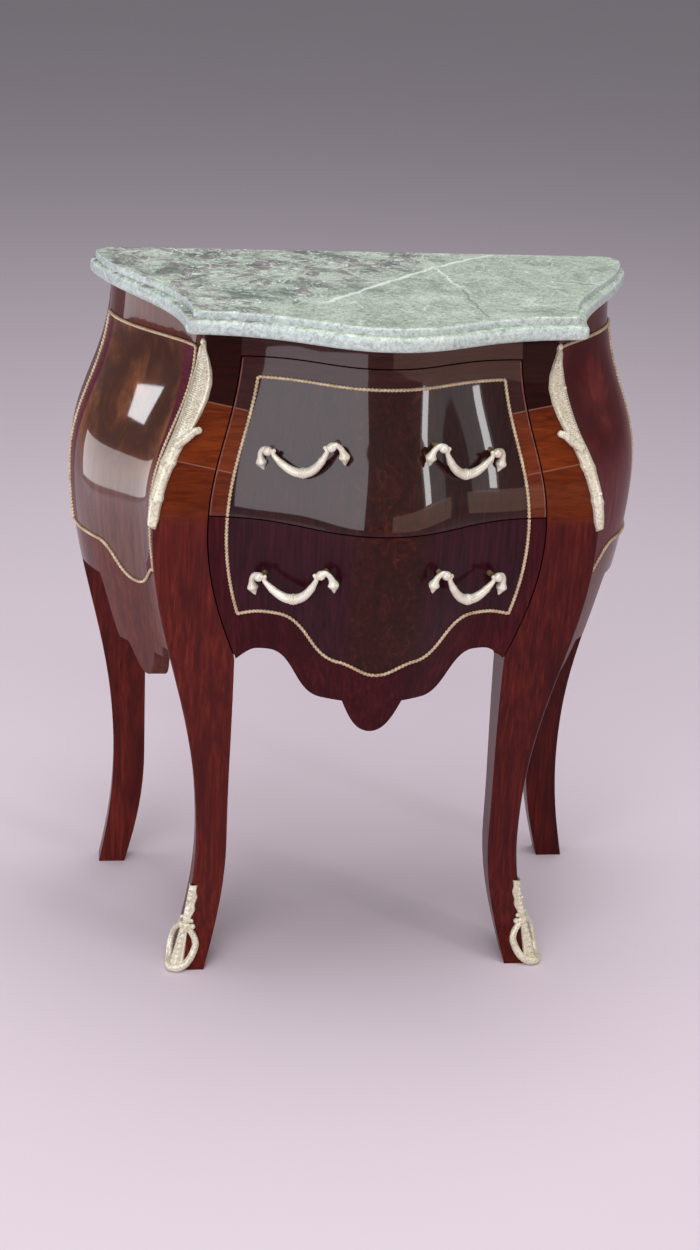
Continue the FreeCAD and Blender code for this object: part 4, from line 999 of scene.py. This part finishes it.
def sabot():
    """The cast shoe of the left front foot: a loop round a tongue, a collar and a leaf above it."""
    form = Form()
    middle, half_height, front_half, side_half = 0.0274, 0.0226, 0.0185, 0.0240
    loop = []
    for turn in turns(LOOP_STEPS) + [2 * pi]:
        up, out = cos(turn), sin(turn)
        pinch = 1 - 0.42 * max(0.0, up) ** 1.5
        fullness = 0.60 if up < 0 else 1.0
        half_width = front_half if out > 0 else side_half
        across = half_width * pinch * copysign(abs(out) ** fullness, out)
        bulge = 0.0040 * max(0.0, -out) ** 1.5
        nose = 0.0032 * max(0.0, -up) * peak(across, 0.0, 0.013)
        loop.append(on_corner(middle + half_height * up, across, 0.0020 + nose + bulge))
    form.tube(loop, lambda share: 0.0036 + 0.0010 * sin(pi * share) ** 2, 14, caps=False)
    leaf_on_corner(form, TONGUE, tongue_width)
    leaf_on_corner(form, SPEAR, spear_width)
    collar = []
    for across in stretch(-COLLAR_HALF, COLLAR_HALF, 16):
        height = COLLAR_HEIGHT - 0.0016 * (across / COLLAR_HALF) ** 2
        collar.append(on_corner(height, across, 0.0032))
    form.tube(collar, lambda share: COLLAR_RADIUS, 10)
    for side in (-1, 1):
        for height, away, radius in COLLAR_BEADS:
            form.ball(on_corner(height, side * away, BEAD_LIFT), radius)
    return form


castings = (("corner_mount_casting", "corner_mount", chute()), ("sabot_casting", "sabot", sabot()),
            ("pin_heads", "mount_pins", pin_heads()))
for label in ("left", "right"):
    for part, replaced, form in castings:
        form.sided(label).piece(f"{label}_{part}", "carcass", cast_brass, "gilt_brass", f"{label}_{replaced}")

# Bail pulls, each in a frame whose X runs from post to post, with Y into the drawer and Z up

POST_HALF = 0.036
HEAD_RADIUS = 0.0052
HEAD_SQUASH = (1.04, 1.0, 0.96)
# A post's stem from the drawer out to its head: distances and radii
NECK = ((0.0235, 0.0030), (0.0138, 0.0030), (0.0130, 0.0027), (0.0126, 0.0024), (0.0105, 0.0021),
        (0.0080, 0.0020), (0.0050, 0.0023), (0.0030, 0.0032))
# A post's drooping leaf, from its head: out to the side, into the drawer and up
LEAF = ((0.0000, 0.0000, 0.0016), (0.0052, 0.0004, 0.0022), (0.0092, 0.0018, -0.0016),
        (0.0108, 0.0032, -0.0078), (0.0110, 0.0040, -0.0138), (0.0100, 0.0044, -0.0212))
LEAF_SIDES, LEAF_REEDS = 14, 5
LEAF_COLLAR, LEAF_COLLAR_RADIUS = 22, 0.0036
BAIL_DROP = 0.0255
BAIL_HALF = 0.0304
BAIL_RISE = 0.0210
BAIL_POWER = 2.1
BAIL_STEP, BAIL_SIDES, BAIL_REEDS = 0.0009, 18, 9
# The ribs round a bail's middle: places and radii, then their section
RIBS = ((-0.0030, 0.0057), (0.0, 0.0062), (0.0030, 0.0057))
RIB_HALF, RIB_SHOULDER, RIB_FOOT, RIB_ROUND = 0.0013, 0.0009, 0.0048, 0.0003
TURNED_SIDES = 20
EYE_INSET, EYE_RADIUS, PIVOT_LENGTH, PIVOT_RADIUS = 0.0014, 0.0023, 0.006, 0.0016


def necks():
    """The slender turned stems that carry the post heads."""
    form = Form()
    for side in (-1, 1):
        rows = []
        for along, radius in NECK:
            rows.append([Vector((side * POST_HALF + radius * cos(turn), along, radius * sin(turn)))
                         for turn in turns(TURNED_SIDES)])
        form.grid(rows, around=True, caps=True)
    return form


def leaf_thickness(share):
    stem = 0.0036 - 0.0008 * sin(pi * min(1.0, share / 0.62))
    bud = 0.0024 * peak(share, 0.74, 0.11)
    return (stem + bud) * (1 - max(0.0, (share - 0.80) / 0.20) ** 1.4 * 0.93)


def posts():
    """The heads of the two posts, each with a leaf that droops at its side."""
    form = Form()
    for side in (-1, 1):
        x = side * POST_HALF
        form.ball(Vector((x, 0.0, 0.0)), HEAD_RADIUS, HEAD_SQUASH)
        path = rounded([Vector((x + side * out, inward, up)) for out, inward, up in LEAF])
        form.tube(path, leaf_thickness, LEAF_SIDES, lambda turn: 1 + 0.06 * cos(LEAF_REEDS * turn))
        form.tube(path[LEAF_COLLAR:LEAF_COLLAR + 2], lambda share: LEAF_COLLAR_RADIUS, LEAF_SIDES)
    return form


def bail_thickness(share):
    middle = cos((2 * share - 1) * pi / 2)
    cup = 0.0004 * peak(abs(2 * share - 1), 0.62, 0.05)
    return 0.0020 + 0.0032 * middle ** 1.1 + cup


def bail():
    """The swinging handle: a sagging bar with three ribs, and an eye and a pivot at each end."""
    form = Form()
    sag = [Vector((BAIL_HALF * share, 0, BAIL_RISE * abs(share) ** BAIL_POWER - BAIL_DROP))
           for share in stretch(-1, 1, RUN_STEPS)]
    ends = [Vector((EYE_INSET - BAIL_HALF, 0, 0)), Vector((0.0003 - BAIL_HALF, 0, -0.0022))]
    path = ends + sag + [Vector((-end.x, 0, end.z)) for end in ends[::-1]]
    path = spaced(path, BAIL_STEP)
    form.tube(path, bail_thickness, BAIL_SIDES, lambda turn: 1 + 0.02 * cos(BAIL_REEDS * turn))
    for at, wide in RIBS:
        section = ((-RIB_HALF, RIB_FOOT), (-RIB_SHOULDER, wide - RIB_ROUND), (0.0, wide),
                   (RIB_SHOULDER, wide - RIB_ROUND), (RIB_HALF, RIB_FOOT))
        rows = []
        for along, radius in section:
            rows.append([Vector((at + along, radius * cos(turn), radius * sin(turn) - BAIL_DROP))
                         for turn in turns(TURNED_SIDES)])
        form.grid(rows, around=True, caps=True)
    for side in (-1, 1):
        eye = Vector((side * (BAIL_HALF - EYE_INSET), 0, 0))
        form.ball(eye, EYE_RADIUS)
        form.tube([eye, eye + Vector((side * PIVOT_LENGTH, 0, 0))], lambda share: PIVOT_RADIUS)
    return form


def pull_frame(level):
    hinge = [joint for joint in frame["joints"] if joint["name"] == f"{level}_left_bail_hinge"][0]
    x_axis = -Vector(hinge["axis"]).normalized()
    y_axis = Vector((-x_axis.y, x_axis.x, 0)).normalized()
    z_axis = x_axis.cross(y_axis)
    matrix = Matrix((x_axis, y_axis, z_axis)).transposed().to_4x4()
    matrix.translation = Vector(hinge["pos_m"])
    return matrix


for level in ("upper", "lower"):
    place = pull_frame(level)
    drawer = f"{level}_drawer"
    for label in ("left", "right"):
        pull = f"{level}_{label}"
        fixed, stems, swinging = [form.moved(place).sided(label) for form in (posts(), necks(), bail())]
        fixed.piece(f"{pull}_post_castings", drawer, pull_brass, "gilt_brass", f"{pull}_pull_posts")
        # The stems are of dark brass as painted shade behind the post heads
        stems.piece(f"{pull}_post_stems", drawer, shade_dark_brass, "gilt_brass")
        swinging.piece(f"{pull}_bail_casting", f"{pull}_bail", pull_brass, "gilt_brass", f"{pull}_bail")

# Stage, light and camera

FLOOR_HALF = 30.0


def floor():
    paint = Paint("stage_floor")
    colour = paint.tint(srgb(222, 208, 218), (214, 198, 210), paint.noise(paint.place, 3.0, 2.0), 0.2)
    mesh = bpy.data.meshes.new("stage_floor")
    corners = [(FLOOR_HALF * x, FLOOR_HALF * y, 0) for x, y in ((-1, -1), (1, -1), (1, 1), (-1, 1))]
    mesh.from_pydata(corners, [], [(0, 1, 2, 3)])
    mesh.materials.append(paint.finish(colour, Roughness=0.85, Specular_IOR_Level=0.2))
    obj = add_object("stage_floor", mesh)


def softbox(name, place, target, width, height, power, colour=(1.0, 1.0, 1.0)):
    lamp = bpy.data.lights.new(name, "AREA")
    lamp.shape = "RECTANGLE"
    lamp.size = width
    lamp.size_y = height
    lamp.energy = power
    lamp.color = colour
    obj = add_object(name, lamp)
    obj.location = place
    obj.rotation_euler = (Vector(target) - Vector(place)).to_track_quat("-Z", "Y").to_euler()


floor()
MIDDLE = (0.0, 0.0, 0.6)
softbox("left_window", (-1.82, -2.56, 1.33), MIDDLE, 2.5, 2.2, 42.0, (0.96, 0.94, 1.0))
softbox("right_window", (2.45, -1.65, 1.40), MIDDLE, 1.0, 1.2, 2.6)
softbox("right_strip", (2.30, -1.85, 1.35), MIDDLE, 0.30, 0.9, 8.0)
softbox("left_slit", (-3.26, 0.108, 1.04), (-0.26, 0.04, 0.655), 0.345, 0.18, 2.6, (0.92, 0.96, 1.0))
softbox("left_low_panel", (-1.75, 0.30, 0.25), (-0.29, 0.04, 0.55), 1.3, 0.44, 6.0)
softbox("right_low_panel", (1.5, -1.8, 0.55), MIDDLE, 2.4, 0.5, 3.9, (1.0, 0.66, 0.5))
softbox("front_top", (-0.4, -2.4, 3.2), MIDDLE, 2.2, 1.4, 24.0)
softbox("overhead", (0.2, 0.1, 3.6), MIDDLE, 2.4, 2.4, 78.0)

world = bpy.data.worlds.new("studio")
scene.world = world
world.use_nodes = True
background = world.node_tree.nodes["Background"]
background.inputs["Color"].default_value = (0.82, 0.84, 0.88, 1.0)
background.inputs["Strength"].default_value = 0.26

CAMERA_PLACE = Vector((-0.2961, -2.1970, 1.3218))
CAMERA_YAW, CAMERA_PITCH, CAMERA_ROLL = radians(7.38), radians(22.88), radians(-2.826)


def camera():
    lens = bpy.data.cameras.new("camera")
    lens.sensor_fit = "VERTICAL"
    lens.sensor_height = 36.0
    lens.lens = 60.56
    lens.clip_end = 100.0
    ahead = Vector((sin(CAMERA_YAW) * cos(CAMERA_PITCH),
                    cos(CAMERA_YAW) * cos(CAMERA_PITCH), -sin(CAMERA_PITCH)))
    level = Vector((cos(CAMERA_YAW), -sin(CAMERA_YAW), 0))
    down = ahead.cross(level)
    right = level * cos(CAMERA_ROLL) + down * sin(CAMERA_ROLL)
    up = level * sin(CAMERA_ROLL) - down * cos(CAMERA_ROLL)
    obj = add_object("camera", lens)
    turn = Matrix((right, up, -ahead)).transposed().to_4x4()
    turn.translation = CAMERA_PLACE
    obj.matrix_world = turn
    scene.camera = obj


camera()
scene.view_settings.view_transform = "Standard"
